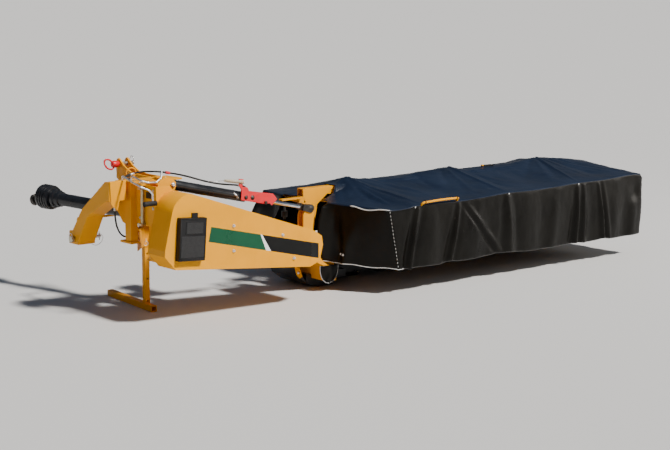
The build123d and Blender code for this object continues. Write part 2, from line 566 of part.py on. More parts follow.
with BuildPart() as canopy_outer_curtain:
    plate(facing_out(CANOPY_OUT - SKIN), [(SKIN, HEM_Z), (SKIN, EDGE_OUT_Z - SKIN), (CANOPY_FRONT - SKIN, CURTAIN_TOP),
                                          (CANOPY_FRONT_HEM - SKIN - 2, 250)], SKIN)
save(canopy_outer_curtain, "canopy_outer_curtain")

INNER_CURTAINS = [  # name, plan points of the outer and inner face, bottom and top
    ("canopy_inner_curtain", [(-70, 4), (-205, 357), (-240, 520), (-236, 520), (-201, 358), (-66, 4)], 200.0, 631.0),
    ("canopy_corner_curtain", [(-240, 1040), (-180, 1376), (-176, 1376), (-236, 1040)], 440.0, 646.0)]
for curtain_name, plan, z0, z1 in INNER_CURTAINS:
    with BuildPart() as curtain:
        plate(Plane.XY.offset(z0), plan, z1 - z0)
    save(curtain, curtain_name)

with BuildPart() as inner_flap:
    plate(facing_rear(457), [(-349, 199.5), (-331, 120), (-300, 75), (-260, 61), (-222, 75), (-196, 120),
                             (-178, 199.5)], 5)
save(inner_flap, "inner_flap")

# cutterbar: a flat gear case, scalloped round the discs
BAR_REAR = DISC_Y - 170
with BuildPart() as cutterbar:
    block(-330, DISC_FIRST_X + DISC_PITCH * (DISC_COUNT - 1) + 150, BAR_REAR, DISC_Y - 20, BAR_BOTTOM, BAR_TOP)
    for i in range(DISC_COUNT):
        rod_z(DISC_FIRST_X + i * DISC_PITCH, DISC_Y, BAR_BOTTOM, BAR_TOP, 150)
        rod_z(DISC_FIRST_X + i * DISC_PITCH, DISC_Y, BAR_TOP, 128, 60)
    block(-330, 60, 640, DISC_Y + 60, BAR_BOTTOM, BAR_TOP)
save(cutterbar, "cutterbar")

with BuildPart() as bar_gearbox:
    block(-286, -60, 640, 900, BAR_TOP, 205)
    rod_z(-190, 790, 205, 236, 66)
    rod_x(760, 160, -60, -34, 46)
save(bar_gearbox, "bar_gearbox")

# curled shoe at the inner end, open behind the lift arm
with BuildPart() as inner_shoe:
    plate(facing_rear(DISC_Y + 60), [(-426, 167), (-388, 86), (-300, 25), (-215, 0), (-70, 0), (-70, BAR_BOTTOM),
                                     (-331, BAR_BOTTOM), (-372, 105), (-402, 175)], DISC_Y + 60 - 641)
save(inner_shoe, "inner_shoe")

# skids: one under each disc, and a longer shoe at either end
SKIDS = []                                                # x, width, rear y, front y
for i in range(DISC_COUNT):
    SKIDS.append((DISC_FIRST_X + i * DISC_PITCH - 90, 180.0, DISC_Y - 130, DISC_Y + 230))
SKIDS.append((2410.0, 110.0, DISC_Y - 130, DISC_Y + 330))
with BuildPart() as skid_shoes:
    for x, wide, y0, y1 in SKIDS:
        plate(facing_out(x), [(y0, 20), (y0 + 30, 0), (y1 - 160, 0), (y1 - 50, 22), (y1, 62), (y1 - 8, 70),
                              (y1 - 60, 34), (y1 - 160, 10), (y0 + 130, 10), (y0 + 130, BAR_BOTTOM),
                              (y0 + 50, BAR_BOTTOM), (y0 + 30, 12), (y0 + 4, 26)], wide)
save(skid_shoes, "skid_shoes")

# discs: rounded lozenges with two knives each, turned a quarter from one to the next
KNIFE_Z = 131.0
for i in range(DISC_COUNT):
    x = DISC_FIRST_X + i * DISC_PITCH
    turn = 0 if i % 2 == 0 else 90
    disc_plane = Plane(origin=(x, DISC_Y, KNIFE_Z), x_dir=(cos(radians(turn)), sin(radians(turn)), 0),
                       z_dir=(0, 0, 1))
    with BuildPart(disc_plane) as disc:
        with BuildSketch(disc_plane):
            Ellipse(DISC_LONG, DISC_SHORT)
        extrude(amount=12)
        with Locations((0, 0, 18)):
            Cylinder(58, 14)
        with Locations((0, 0, 32)):
            Cone(50, 26, 14)
        for side in (-1, 1):
            with Locations((side * (KNIFE_REACH - 45), 0, -1)):
                Box(90, 42, 4)
    save(disc, "disc_%d" % (i + 1))
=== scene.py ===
# Disc mower parked on its stand: looks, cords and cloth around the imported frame.
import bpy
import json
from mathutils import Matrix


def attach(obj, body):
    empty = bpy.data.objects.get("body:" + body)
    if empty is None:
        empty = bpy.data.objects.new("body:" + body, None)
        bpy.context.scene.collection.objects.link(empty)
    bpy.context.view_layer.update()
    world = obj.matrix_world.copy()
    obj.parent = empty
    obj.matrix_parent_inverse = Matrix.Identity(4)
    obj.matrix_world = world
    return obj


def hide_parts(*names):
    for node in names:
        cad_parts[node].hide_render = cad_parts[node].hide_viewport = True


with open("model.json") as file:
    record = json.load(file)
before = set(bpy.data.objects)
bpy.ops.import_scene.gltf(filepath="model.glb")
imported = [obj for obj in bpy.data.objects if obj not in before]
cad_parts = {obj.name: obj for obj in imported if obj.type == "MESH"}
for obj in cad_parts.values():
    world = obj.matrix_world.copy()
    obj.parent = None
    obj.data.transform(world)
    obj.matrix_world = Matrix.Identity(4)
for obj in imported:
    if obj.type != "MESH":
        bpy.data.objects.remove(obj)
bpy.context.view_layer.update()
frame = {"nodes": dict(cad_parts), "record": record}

import json
from math import atan2, cos, degrees, exp, hypot, pi, radians, sin, sqrt

import bmesh
import bpy
import numpy as np
from mathutils import Matrix, Vector, noise

NODES = frame["nodes"]
SCENE = bpy.context.scene


# ------------------------------------------------------------------ places
FOOTPRINT = (328.25, 1001.393)


def P(x, y, z):
    """A point of the working datum (millimetres from the canopy's rear inner foot) in the frame, in metres."""
    return Vector(((x - FOOTPRINT[0]) / 1000, (y - FOOTPRINT[1]) / 1000, z / 1000))


CYL = (-1658.0, 500.0, 917.0)
EYE = (-435.0, 637.0)
_len = hypot(EYE[0] - CYL[0], EYE[1] - CYL[2])
AXIS = ((EYE[0] - CYL[0]) / _len, (EYE[1] - CYL[2]) / _len)


def along_cylinder(s, n, y=CYL[1]):
    """s along the lift cylinder from its fixed pin, n above its axis, in millimetres."""
    return (CYL[0] + s * AXIS[0] - n * AXIS[1], y, CYL[2] + s * AXIS[1] + n * AXIS[0])


# ------------------------------------------------------------------ camera
def make_camera():
    focal_px, pitch, heading, roll = 1610.3, 0.15981, 0.87005, -0.003625
    place = Vector((-7.79524, -8.53986, 2.38975)) - Vector((FOOTPRINT[0] / 1000, FOOTPRINT[1] / 1000, 0))
    forward = Vector((cos(heading) * cos(pitch), sin(heading) * cos(pitch), -sin(pitch)))
    right = Vector((sin(heading), -cos(heading), 0))
    down = forward.cross(right)
    right, down = (right * cos(roll) + down * sin(roll)), (down * cos(roll) - right * sin(roll))
    cam = bpy.data.cameras.new("camera")
    cam.sensor_fit = "HORIZONTAL"
    cam.sensor_width = 36
    cam.lens = 36 * focal_px / 670
    cam.clip_end = 600
    obj = bpy.data.objects.new("camera", cam)
    obj.matrix_world = Matrix((
        (right.x, -down.x, -forward.x, place.x),
        (right.y, -down.y, -forward.y, place.y),
        (right.z, -down.z, -forward.z, place.z),
        (0, 0, 0, 1)))
    SCENE.collection.objects.link(obj)
    SCENE.camera = obj


make_camera()


# ------------------------------------------------------------------ materials
def material(name, colors, rough=(0.35, 0.5), metallic=0.0, shine=0.5, scale=6.0, detail=5.0, grain=400.0,
             bump=0.04, bump_mm=0.6, coat=0.0, sheen=0.0, specks=None, weave=None, streak=None):
    """A surface whose colour and roughness drift with noise, with a fine grain in its bump.
    colors is a list of (position, rgb) along the noise."""
    mat = bpy.data.materials.new(name)
    mat.use_nodes = True
    tree = mat.node_tree
    bsdf = tree.nodes["Principled BSDF"]
    bsdf.inputs["Metallic"].default_value = metallic
    bsdf.inputs["Specular IOR Level"].default_value = shine
    if coat:
        bsdf.inputs["Coat Weight"].default_value = coat
        bsdf.inputs["Coat Roughness"].default_value = 0.08
    if sheen:
        bsdf.inputs["Sheen Weight"].default_value = sheen
        bsdf.inputs["Sheen Roughness"].default_value = 0.5
    where = tree.nodes.new("ShaderNodeTexCoord")
    drift = tree.nodes.new("ShaderNodeTexNoise")
    drift.inputs["Scale"].default_value = scale
    drift.inputs["Detail"].default_value = detail
    drift.inputs["Roughness"].default_value = 0.6
    tree.links.new(where.outputs["Object"], drift.inputs["Vector"])
    ramp = tree.nodes.new("ShaderNodeValToRGB")
    ramp.color_ramp.elements[0].position = colors[0][0]
    ramp.color_ramp.elements[0].color = (*colors[0][1], 1)
    ramp.color_ramp.elements[1].position = colors[-1][0]
    ramp.color_ramp.elements[1].color = (*colors[-1][1], 1)
    for place, rgb in colors[1:-1]:
        ramp.color_ramp.elements.new(place).color = (*rgb, 1)
    tree.links.new(drift.outputs["Fac"], ramp.inputs["Fac"])
    colour = ramp.outputs["Color"]
    if specks:
        # dust or chips: a threshold on a second noise
        amount, rgb, speck_scale = specks
        fine = tree.nodes.new("ShaderNodeTexNoise")
        fine.inputs["Scale"].default_value = speck_scale
        fine.inputs["Detail"].default_value = 8
        tree.links.new(where.outputs["Object"], fine.inputs["Vector"])
        edge = tree.nodes.new("ShaderNodeValToRGB")
        edge.color_ramp.elements[0].position = 1 - amount
        edge.color_ramp.elements[0].color = (0, 0, 0, 1)
        edge.color_ramp.elements[1].position = min(1.0, 1 - amount + 0.06)
        edge.color_ramp.elements[1].color = (1, 1, 1, 1)
        tree.links.new(fine.outputs["Fac"], edge.inputs["Fac"])
        mix = tree.nodes.new("ShaderNodeMix")
        mix.data_type = "RGBA"
        tree.links.new(edge.outputs["Color"], mix.inputs["Factor"])
        tree.links.new(colour, mix.inputs[6])
        mix.inputs[7].default_value = (*rgb, 1)
        colour = mix.outputs[2]
    tree.links.new(colour, bsdf.inputs["Base Color"])
    gloss = tree.nodes.new("ShaderNodeMapRange")
    gloss.inputs["To Min"].default_value = rough[0]
    gloss.inputs["To Max"].default_value = rough[1]
    gloss.inputs["From Min"].default_value = 0.3
    gloss.inputs["From Max"].default_value = 0.7
    tree.links.new(drift.outputs["Fac"], gloss.inputs["Value"])
    tree.links.new(gloss.outputs["Result"], bsdf.inputs["Roughness"])
    if weave:
        tex = tree.nodes.new("ShaderNodeTexChecker")
        tex.inputs["Scale"].default_value = weave
        height = tex.outputs["Fac"]
    else:
        tex = tree.nodes.new("ShaderNodeTexNoise")
        tex.inputs["Scale"].default_value = grain
        tex.inputs["Detail"].default_value = 3
        height = tex.outputs["Fac"]
    if streak:
        stretch = tree.nodes.new("ShaderNodeMapping")
        stretch.inputs["Scale"].default_value = streak
        tree.links.new(where.outputs["Object"], stretch.inputs["Vector"])
        tree.links.new(stretch.outputs["Vector"], tex.inputs["Vector"])
    else:
        tree.links.new(where.outputs["Object"], tex.inputs["Vector"])
    relief = tree.nodes.new("ShaderNodeBump")
    relief.inputs["Strength"].default_value = bump
    relief.inputs["Distance"].default_value = bump_mm / 1000
    tree.links.new(height, relief.inputs["Height"])
    tree.links.new(relief.outputs["Normal"], bsdf.inputs["Normal"])
    return mat


YELLOW = material("enamel_yellow", [(0.30, (0.74, 0.305, 0.0006)), (0.5, (0.80, 0.335, 0.0008)), (0.72, (0.86, 0.365, 0.001))],
                  rough=(0.34, 0.46), shine=0.16, scale=2.2, grain=260, bump=0.12, bump_mm=0.5,
                  specks=(0.26, (0.58, 0.25, 0.010), 34))
RED = material("enamel_red", [(0.3, (0.60, 0.004, 0.012)), (0.7, (0.72, 0.008, 0.02))], rough=(0.28, 0.4), scale=12,
               grain=300, bump=0.1, coat=0.3)
BLACK_ENAMEL = material("enamel_black", [(0.3, (0.008, 0.009, 0.011)), (0.7, (0.016, 0.017, 0.02))], rough=(0.25, 0.4),
                        scale=9, grain=300, bump=0.1, coat=0.25, specks=(0.30, (0.06, 0.05, 0.04), 60))
CHROME = material("hard_chrome", [(0.3, (0.72, 0.74, 0.77)), (0.7, (0.80, 0.81, 0.83))], rough=(0.06, 0.14), metallic=1,
                  scale=30, grain=900, bump=0.02, bump_mm=0.1)
ZINC = material("zinc_plate", [(0.3, (0.50, 0.48, 0.40)), (0.55, (0.60, 0.57, 0.46)), (0.75, (0.66, 0.64, 0.55))],
                rough=(0.28, 0.48), metallic=0.9, scale=26, grain=600, bump=0.08, bump_mm=0.2)
PALE_STEEL = material("bright_steel", [(0.3, (0.62, 0.63, 0.64)), (0.7, (0.78, 0.79, 0.80))], rough=(0.2, 0.38),
                      metallic=0.85, scale=30, grain=700, bump=0.05, bump_mm=0.2)
DARK_STEEL = material("worn_steel", [(0.3, (0.035, 0.033, 0.032)), (0.6, (0.085, 0.078, 0.07)), (0.78, (0.20, 0.17, 0.14))],
                      rough=(0.4, 0.62), metallic=0.7, scale=16, grain=300, bump=0.25, bump_mm=0.5)
CAST = material("cast_iron", [(0.3, (0.07, 0.07, 0.07)), (0.7, (0.13, 0.125, 0.12))], rough=(0.55, 0.75), metallic=0.5,
                scale=20, grain=180, bump=0.5, bump_mm=0.8)
PLASTIC = material("moulded_black", [(0.3, (0.006, 0.006, 0.007)), (0.7, (0.012, 0.012, 0.013))], rough=(0.42, 0.58), shine=0.25,
                   scale=8, grain=650, bump=0.55, bump_mm=0.5)
RUBBER = material("black_rubber", [(0.3, (0.010, 0.010, 0.010)), (0.7, (0.022, 0.022, 0.022))], rough=(0.5, 0.7),
                  shine=0.25, scale=30, grain=500, bump=0.3, bump_mm=0.4)
# the roof's copy of the cloth, painted bluer and lighter than the curtains: painted sky light and sheen on the
# up-facing cloth
CLOTH_TOP_PAINTED_SKYLIGHT = material("cloth_top_painted_sky_sheen", [(0.32, (0.0045, 0.0085, 0.020)), (0.5, (0.006, 0.012, 0.028)), (0.75, (0.010, 0.018, 0.038))],
                     rough=(0.28, 0.42), shine=0.32, scale=3.0, bump=0.16, bump_mm=0.3, weave=900.0,
                     specks=(0.34, (0.018, 0.026, 0.042), 18))
VINYL = material("coated_cloth_side", [(0.32, (0.0030, 0.0026, 0.0020)), (0.5, (0.0044, 0.0039, 0.0030)), (0.75, (0.0070, 0.0062, 0.0048))],
                 rough=(0.26, 0.38), shine=0.14, scale=3.0, bump=0.16, bump_mm=0.3, weave=900.0,
                 specks=(0.32, (0.014, 0.012, 0.010), 22))
HEM_DARK = material("hem_dark", [(0.3, (0.03, 0.03, 0.03)), (0.7, (0.07, 0.07, 0.068))], rough=(0.5, 0.7), scale=60,
                    grain=900, bump=0.4, bump_mm=0.4)
HEM = material("hem_cord", [(0.3, (0.30, 0.30, 0.30)), (0.7, (0.46, 0.46, 0.45))], rough=(0.6, 0.75), scale=60,
               grain=900, bump=0.4, bump_mm=0.4)
WELT = material("pale_welt", [(0.3, (0.55, 0.55, 0.54)), (0.7, (0.75, 0.75, 0.73))], rough=(0.5, 0.7), scale=50,
                grain=800, bump=0.3, bump_mm=0.3)
CREAM = material("cream_spring", [(0.3, (0.62, 0.57, 0.44)), (0.7, (0.78, 0.73, 0.60))], rough=(0.35, 0.5), metallic=0.2,
                 scale=40, grain=500, bump=0.1)
GREEN = material("film_green", [(0.3, (0.002, 0.062, 0.026)), (0.7, (0.003, 0.075, 0.033))], rough=(0.25, 0.35), scale=5,
                 shine=0.3, grain=200, bump=0.03)
WHITE_FILM = material("film_white", [(0.3, (0.74, 0.74, 0.74)), (0.7, (0.82, 0.82, 0.82))], rough=(0.22, 0.32), scale=5,
                      grain=200, bump=0.03, coat=0.2)
BLACK_FILM = material("film_black", [(0.3, (0.004, 0.004, 0.004)), (0.7, (0.007, 0.007, 0.007))], rough=(0.3, 0.4), scale=5,
                      shine=0.2, grain=200, bump=0.03)

GUARD_BLACK = material("guard_black", [(0.3, (0.005, 0.006, 0.008)), (0.7, (0.010, 0.011, 0.014))], rough=(0.22, 0.36),
                       scale=8, grain=350, bump=0.12, bump_mm=0.3)
PEBBLE = material("pebbled_black", [(0.3, (0.006, 0.006, 0.007)), (0.7, (0.016, 0.016, 0.017))], rough=(0.35, 0.5),
                  scale=60, grain=190, bump=1.0, bump_mm=2.0)
CREAM_ZINC = material("yellow_zinc", [(0.3, (0.46, 0.38, 0.20)), (0.55, (0.58, 0.50, 0.30)), (0.75, (0.68, 0.62, 0.44))],
                      rough=(0.3, 0.5), metallic=0.75, scale=26, grain=600, bump=0.08, bump_mm=0.2)

BY_SLOT = {"yellow_paint": YELLOW, "red_paint": RED, "black_paint": BLACK_ENAMEL, "chrome_rod": CHROME,
           "zinc_steel": ZINC, "dark_steel": DARK_STEEL, "cast_iron": CAST, "black_plastic": PLASTIC,
           "black_rubber": RUBBER, "canopy_vinyl": VINYL}


# ------------------------------------------------------------------ mesh helpers
def piece(name, verts, faces, mats, body, smooth=True, face_mats=None):
    mesh = bpy.data.meshes.new(name)
    mesh.from_pydata([tuple(v) for v in verts], [], faces)
    for m in (mats if isinstance(mats, (list, tuple)) else [mats]):
        mesh.materials.append(m)
    for i, poly in enumerate(mesh.polygons):
        poly.use_smooth = smooth
        if face_mats is not None:
            poly.material_index = face_mats[i]
    mesh.update()
    obj = bpy.data.objects.new(name, mesh)
    SCENE.collection.objects.link(obj)
    if body:
        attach(obj, body)
    return obj


def frames_along(points, closed=False):
    """Tangent and two normals at each point, carried along without twisting."""
    pts = [Vector(p) for p in points]
    n = len(pts)
    tangents = []
    for i in range(n):
        a = pts[(i - 1) % n] if closed or i else pts[0]
        b = pts[(i + 1) % n] if closed or i < n - 1 else pts[-1]
        tangents.append((b - a).normalized())
    side = tangents[0].orthogonal().normalized()
    out = []
    for t in tangents:
        side = (side - t * side.dot(t)).normalized()
        out.append((t, side, t.cross(side)))
    return pts, out


def tube_data(points, r, sides=12, closed=False, squash=1.0):
    pts, frames = frames_along(points, closed)
    verts, faces = [], []
    radius = r if callable(r) else (lambda i: r)
    for i, (p, (t, a, b)) in enumerate(zip(pts, frames)):
        for k in range(sides):
            w = 2 * pi * k / sides
            verts.append(p + (a * cos(w) + b * sin(w) * squash) * radius(i))
    n = len(pts)
    for i in range(n if closed else n - 1):
        j = (i + 1) % n
        for k in range(sides):
            m = (k + 1) % sides
            faces.append((i * sides + k, i * sides + m, j * sides + m, j * sides + k))
    if not closed:
        faces.append(tuple(range(sides))[::-1])
        faces.append(tuple((n - 1) * sides + k for k in range(sides)))
    return verts, faces


def tube(name, points, r, mat, body, sides=12, closed=False):
    verts, faces = tube_data(points, r, sides, closed)
    return piece(name, verts, faces, mat, body)


def joined(parts):
    """Several (verts, faces) lists as one."""
    verts, faces = [], []
    for v, f in parts:
        base = len(verts)
        verts += list(v)
        faces += [tuple(i + base for i in face) for face in f]
    return verts, faces


def turned(origin, axis, profile, sides=24):
    """A lathe shape: profile is (distance along axis, radius) in mm, from origin in working millimetres."""
    ax = Vector(axis).normalized()
    a = ax.orthogonal().normalized()
    b = ax.cross(a)
    o = P(*origin)
    verts, faces = [], []
    for s, r in profile:
        for k in range(sides):
            w = 2 * pi * k / sides
            verts.append(o + ax * (s / 1000) + (a * cos(w) + b * sin(w)) * (max(r, 0.01) / 1000))
    for i in range(len(profile) - 1):
        for k in range(sides):
            m = (k + 1) % sides
            faces.append((i * sides + k, i * sides + m, (i + 1) * sides + m, (i + 1) * sides + k))
    faces.append(tuple(range(sides))[::-1])
    faces.append(tuple((len(profile) - 1) * sides + k for k in range(sides)))
    return verts, faces


def ring(centre, normal, r, wire, squash=1.0, sides=8, steps=32, tall=None):
    n = Vector(normal).normalized()
    a = n.orthogonal().normalized() if tall is None else (Vector(tall) - n * n.dot(Vector(tall))).normalized()
    b = n.cross(a)
    pts = [P(*centre) + (a * cos(2 * pi * k / steps) + b * sin(2 * pi * k / steps) * squash) * (r / 1000)
           for k in range(steps)]
    return tube_data(pts, wire / 1000, sides, closed=True)


def arcs_through(points, radius, steps=6):
    """A bent rod's line: straight runs with a round bend at each corner, in working millimetres."""
    pts = [Vector(p) for p in points]
    out = [pts[0]]
    for a, b, c in zip(pts, pts[1:], pts[2:]):
        u, v = (a - b).normalized(), (c - b).normalized()
        cut = min(radius, (a - b).length * 0.45, (c - b).length * 0.45)
        p, q = b + u * cut, b + v * cut
        for k in range(steps + 1):
            w = k / steps
            out.append(p * (1 - w) ** 2 + b * 2 * w * (1 - w) + q * w ** 2)
    out.append(pts[-1])
    return [P(*p) for p in out]


def slab(corners, normal, thick):
    """A flat plate: corners in working millimetres, thickened along normal by thick millimetres."""
    n = Vector(normal).normalized() * (thick / 1000)
    lower = [P(*c) for c in corners]
    upper = [p + n for p in lower]
    k = len(corners)
    faces = [tuple(range(k))[::-1], tuple(range(k, 2 * k))]
    faces += [(i, (i + 1) % k, (i + 1) % k + k, i + k) for i in range(k)]
    return lower + upper, faces


def fix_normals(obj):
    bm = bmesh.new()
    bm.from_mesh(obj.data)
    bmesh.ops.recalc_face_normals(bm, faces=bm.faces)
    bm.to_mesh(obj.data)
    bm.free()
    return obj


def flat_piece(name, corners, normal, thick, mat, body, bevel=0.0):
    v, f = slab(corners, normal, thick)
    obj = fix_normals(piece(name, v, f, mat, body, smooth=False))
    if bevel:
        add_bevel(obj, bevel)
    return obj


def add_bevel(obj, width, segments=2, angle=35):
    mod = obj.modifiers.new("bevel", "BEVEL")
    mod.width = width / 1000
    mod.segments = segments
    mod.limit_method = "ANGLE"
    mod.angle_limit = radians(angle)
    mod.use_clamp_overlap = True


# ------------------------------------------------------------------ hoses
HOSE_R = 0.006


def hose(name, route, body, node):
    data = bpy.data.curves.new(name, "CURVE")
    data.dimensions = "3D"
    line = data.splines.new("NURBS")
    line.points.add(len(route) - 1)
    for point, xyz in zip(line.points, route):
        point.co = (*P(*xyz), 1)
    line.order_u = 3
    line.use_endpoint_u = True
    data.resolution_u = 10
    data.bevel_depth = HOSE_R
    data.bevel_resolution = 4
    data.use_fill_caps = True
    data.materials.append(RUBBER)
    obj = bpy.data.objects.new(name, data)
    SCENE.collection.objects.link(obj)
    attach(obj, body)
    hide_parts(node)
    return obj


HOSE_SEAM = along_cylinder(-18, 75)
FEED_ROUTE = [(-1896, 598, 990), (-1860, 582, 1003), (-1822, 562, 1008), (-1782, 538, 1009), (-1745, 514, 1008),
              along_cylinder(-55, 73.724), HOSE_SEAM]
LIFT_ROUTE = [HOSE_SEAM, along_cylinder(40, 77), along_cylinder(110, 76), along_cylinder(190, 71),
              along_cylinder(275, 64), along_cylinder(360, 60), along_cylinder(445, 62), along_cylinder(525, 69),
              along_cylinder(580, 74), along_cylinder(612, 74)]
LOOP_ROUTE = [(-1966, 690, 765), (-1966, 690, 717), (-1962, 690, 670), (-1950, 691, 624), (-1930, 693, 584),
              (-1902, 696, 558), (-1875, 698, 550), (-1850, 698, 550)]


def sleeve(name, p, q, r, mat, body):
    """A crimped end sleeve from p towards q, both in working millimetres."""
    a, b = Vector(p), Vector(q)
    d = (b - a).normalized()
    v, f = turned(p, d, [(0, r - 1), (0.5, r), (8, r), (9, r - 0.8), (10, r), (16, r), (17, r - 0.8), (18, r),
                         (25, r), (27, r - 1.2), (27.5, 6.3)])
    return piece(name, v, f, mat, body)


feed_sleeve = sleeve("feed_sleeve", FEED_ROUTE[0], FEED_ROUTE[1], 8.5, PALE_STEEL, "headstock")
lift_sleeve = sleeve("lift_sleeve", LIFT_ROUTE[-1], LIFT_ROUTE[-2], 8.5, PALE_STEEL, "cylinder_barrel")
loop_sleeve = sleeve("loop_sleeve", LOOP_ROUTE[0], LOOP_ROUTE[1], 8.5, PALE_STEEL, "headstock")
loop_foot = sleeve("loop_foot_sleeve", LOOP_ROUTE[-1], LOOP_ROUTE[-2], 8.5, PALE_STEEL, "headstock")
a0, a1 = Vector(along_cylinder(-40, 74.2)), Vector(HOSE_SEAM)
v, f = turned(along_cylinder(-38, 74.3), (a1 - a0), [(0, 6.4), (1, 9), (5, 10), (30, 10), (34, 9), (36, 6.4)])
seam_cap = piece("hose_cap", v, f, RED, "headstock")
feed = hose("feed_line", FEED_ROUTE, "headstock", "feed_hose")
lift = hose("lift_line", LIFT_ROUTE, "cylinder_barrel", "lift_hose")
loop = hose("loop_line", LOOP_ROUTE, "headstock", "loop_hose")


# ------------------------------------------------------------------ floor and light
def make_stage():
    mesh = bpy.data.meshes.new("floor")
    s = 200
    mesh.from_pydata([(-s, -s, 0), (s, -s, 0), (s, s, 0), (-s, s, 0)], [], [(0, 1, 2, 3)])
    floor = bpy.data.objects.new("floor", mesh)
    SCENE.collection.objects.link(floor)
    mat = bpy.data.materials.new("floor_paint")
    mat.use_nodes = True
    bsdf = mat.node_tree.nodes["Principled BSDF"]
    bsdf.inputs["Base Color"].default_value = (0.60, 0.60, 0.60, 1)
    bsdf.inputs["Roughness"].default_value = 0.9
    mesh.materials.append(mat)
    world = bpy.data.worlds.new("world")
    SCENE.world = world
    world.use_nodes = True
    tree = world.node_tree
    back = tree.nodes["Background"]
    back.inputs[1].default_value = 0.15
    where = tree.nodes.new("ShaderNodeTexCoord")
    split = tree.nodes.new("ShaderNodeSeparateXYZ")
    ramp = tree.nodes.new("ShaderNodeValToRGB")
    ramp.color_ramp.elements[0].position = 0.0
    ramp.color_ramp.elements[0].color = (0.98, 0.98, 1.0, 1)
    ramp.color_ramp.elements[1].position = 0.75
    ramp.color_ramp.elements[1].color = (0.52, 0.70, 1.0, 1)
    ramp.color_ramp.elements.new(0.22).color = (0.90, 0.94, 1.0, 1)
    tree.links.new(where.outputs["Generated"], split.inputs[0])
    tree.links.new(split.outputs["Z"], ramp.inputs["Fac"])
    tree.links.new(ramp.outputs["Color"], back.inputs[0])
    sun = bpy.data.lights.new("sun", "SUN")
    sun.energy = 6.2
    sun.angle = radians(6)
    sun.color = (1.0, 0.96, 0.90)
    obj = bpy.data.objects.new("sun", sun)
    obj.rotation_euler = (radians(42), 0, radians(16))
    SCENE.collection.objects.link(obj)
    strip = bpy.data.lights.new("strip", "AREA")
    strip.shape = "RECTANGLE"
    strip.size, strip.size_y = 3.0, 1.4
    strip.energy = 110
    strip.color = (1.0, 0.95, 0.88)
    side = bpy.data.objects.new("strip", strip)
    side.location = (6.5, -4.0, 1.8)
    side.rotation_euler = (Vector((1.0, -1.0, 0.5)) - Vector(side.location)).to_track_quat("-Z", "Y").to_euler()
    SCENE.collection.objects.link(side)


make_stage()


# ------------------------------------------------------------------ the canopy's cloth
X_OUT, Y_FRONT, ROUND = 2750.0, 1380.0, 15.0
INNER_Y, INNER_X = [0, 357, 520, 1040, 1380], [-70, -205, -240, -240, -175]
CREST_X = [-240, -120, 45, 130, 315, 600, 700, 801, 980, 1135, 1200, 1308, 1502, 1625, 1823, 1960, 2162, 2300, 2400, 2560, 2669, 2750]
CREST_Z = [668, 740, 814, 797, 780, 772, 780, 791, 800, 808, 795, 772, 779, 773, 779, 793, 808, 794, 783, 766, 751, 735]
EDGE_X = [-70, 12, 120, 183, 420, 625, 900, 1157, 1500, 1971, 2300, 2560, 2660, 2750]
EDGE_Z = [644, 642, 645, 654, 655, 650, 656, 668, 664, 676, 678, 690, 692, 682]
SKEW_X, SKEW = [-70, 183, 1157, 1971, 2750], [-100, -138, -22, 191, 0]

CREASES = [  # x0, y0, x1, y1, height in mm, width in mm
    (60, 610, 270, 60, 5, 26), (120, 600, 420, 120, -6, 45), (230, 620, 640, 200, 5, 40), (90, 560, 180, 250, -5, 35),
    (430, 560, 560, 60, 4, 45), (720, 600, 690, 200, -5, 55),
    (1125, 640, 1152, 20, 9, 15), (52, 640, 262, 20, 8, 16), (2152, 640, 1975, 20, 9, 15), (2400, 600, 2690, 60, 7, 18), (1060, 560, 900, 120, 6, 35), (1010, 600, 780, 260, -6, 45), (1190, 590, 1330, 90, -6, 45),
    (1260, 600, 1450, 240, 5, 38), (1560, 600, 1500, 120, 4, 60), (1700, 600, 1640, 150, -4, 60),
    (2080, 570, 1800, 160, 6, 34), (2030, 590, 1680, 330, -6, 45), (2110, 540, 1890, 120, -5, 30),
    (2190, 590, 2250, 80, 5, 30), (2240, 590, 2400, 120, -6, 40), (2290, 600, 2560, 180, 6, 36), (2360, 590, 2650, 300, -5, 45),
    (20, 600, -60, 200, 5, 30), (-20, 620, -150, 380, -6, 34), (30, 660, -120, 1200, 5, 50), (70, 700, 200, 1250, -5, 60),
    (1135, 680, 1160, 1330, 6, 26), (2162, 680, 2140, 1330, 6, 26), (1500, 760, 1650, 1300, -5, 80), (620, 760, 540, 1300, -5, 80)]
REAR_FOLDS = [  # x at the top, x at the hem, swell in mm (outwards positive), width in mm
    (210, 70, 20, 22), (170, 20, -12, 26), (255, 130, -8, 26), (330, 360, 7, 80), (470, 440, -6, 60), (628, 535, 20, 20),
    (596, 497, -10, 24), (662, 575, -9, 24), (650, 1035, -10, 20), (690, 1085, 9, 28), (820, 760, 6, 70), (1000, 930, -5, 70),
    (1152, 1178, 18, 46), (1210, 1262, -7, 40), (1100, 1095, -7, 36), (1400, 1380, 6, 90), (1560, 1540, -5, 60), (1720, 1650, 7, 46),
    (1850, 1830, -5, 60), (1962, 1932, 20, 22), (2000, 1985, -9, 20), (2035, 2035, 11, 22), (1915, 1890, -9, 26),
    (2120, 2130, -6, 50), (2205, 2275, 22, 17), (2236, 2310, -12, 18), (2268, 2345, 8, 20), (2420, 2400, 7, 60),
    (2560, 2530, -6, 50), (2650, 2640, 8, 40)]
HEM_FOLDS = [(90, -4, 60), (535, 12, 40), (420, -6, 80), (760, -5, 140), (1085, 4, 60), (1178, 5, 60), (1450, -6, 160),
             (1932, 5, 50), (2275, 12, 40), (2100, -4, 80), (2500, -4, 120)]


def bump_between(x, y, x0, y0, x1, y1, width):
    dx, dy = x1 - x0, y1 - y0
    t = ((x - x0) * dx + (y - y0) * dy) / (dx * dx + dy * dy)
    if t < -0.2 or t > 1.15:
        return 0.0
    tc = min(max(t, 0.0), 1.0)
    d = hypot(x - x0 - tc * dx, y - y0 - tc * dy)
    fade = min(1.0, (t + 0.2) / 0.25) * min(1.0, (1.15 - t) / 0.45)
    return max(0.0, fade) * exp(-(d / (width * (0.45 + 0.75 * tc))) ** 2)


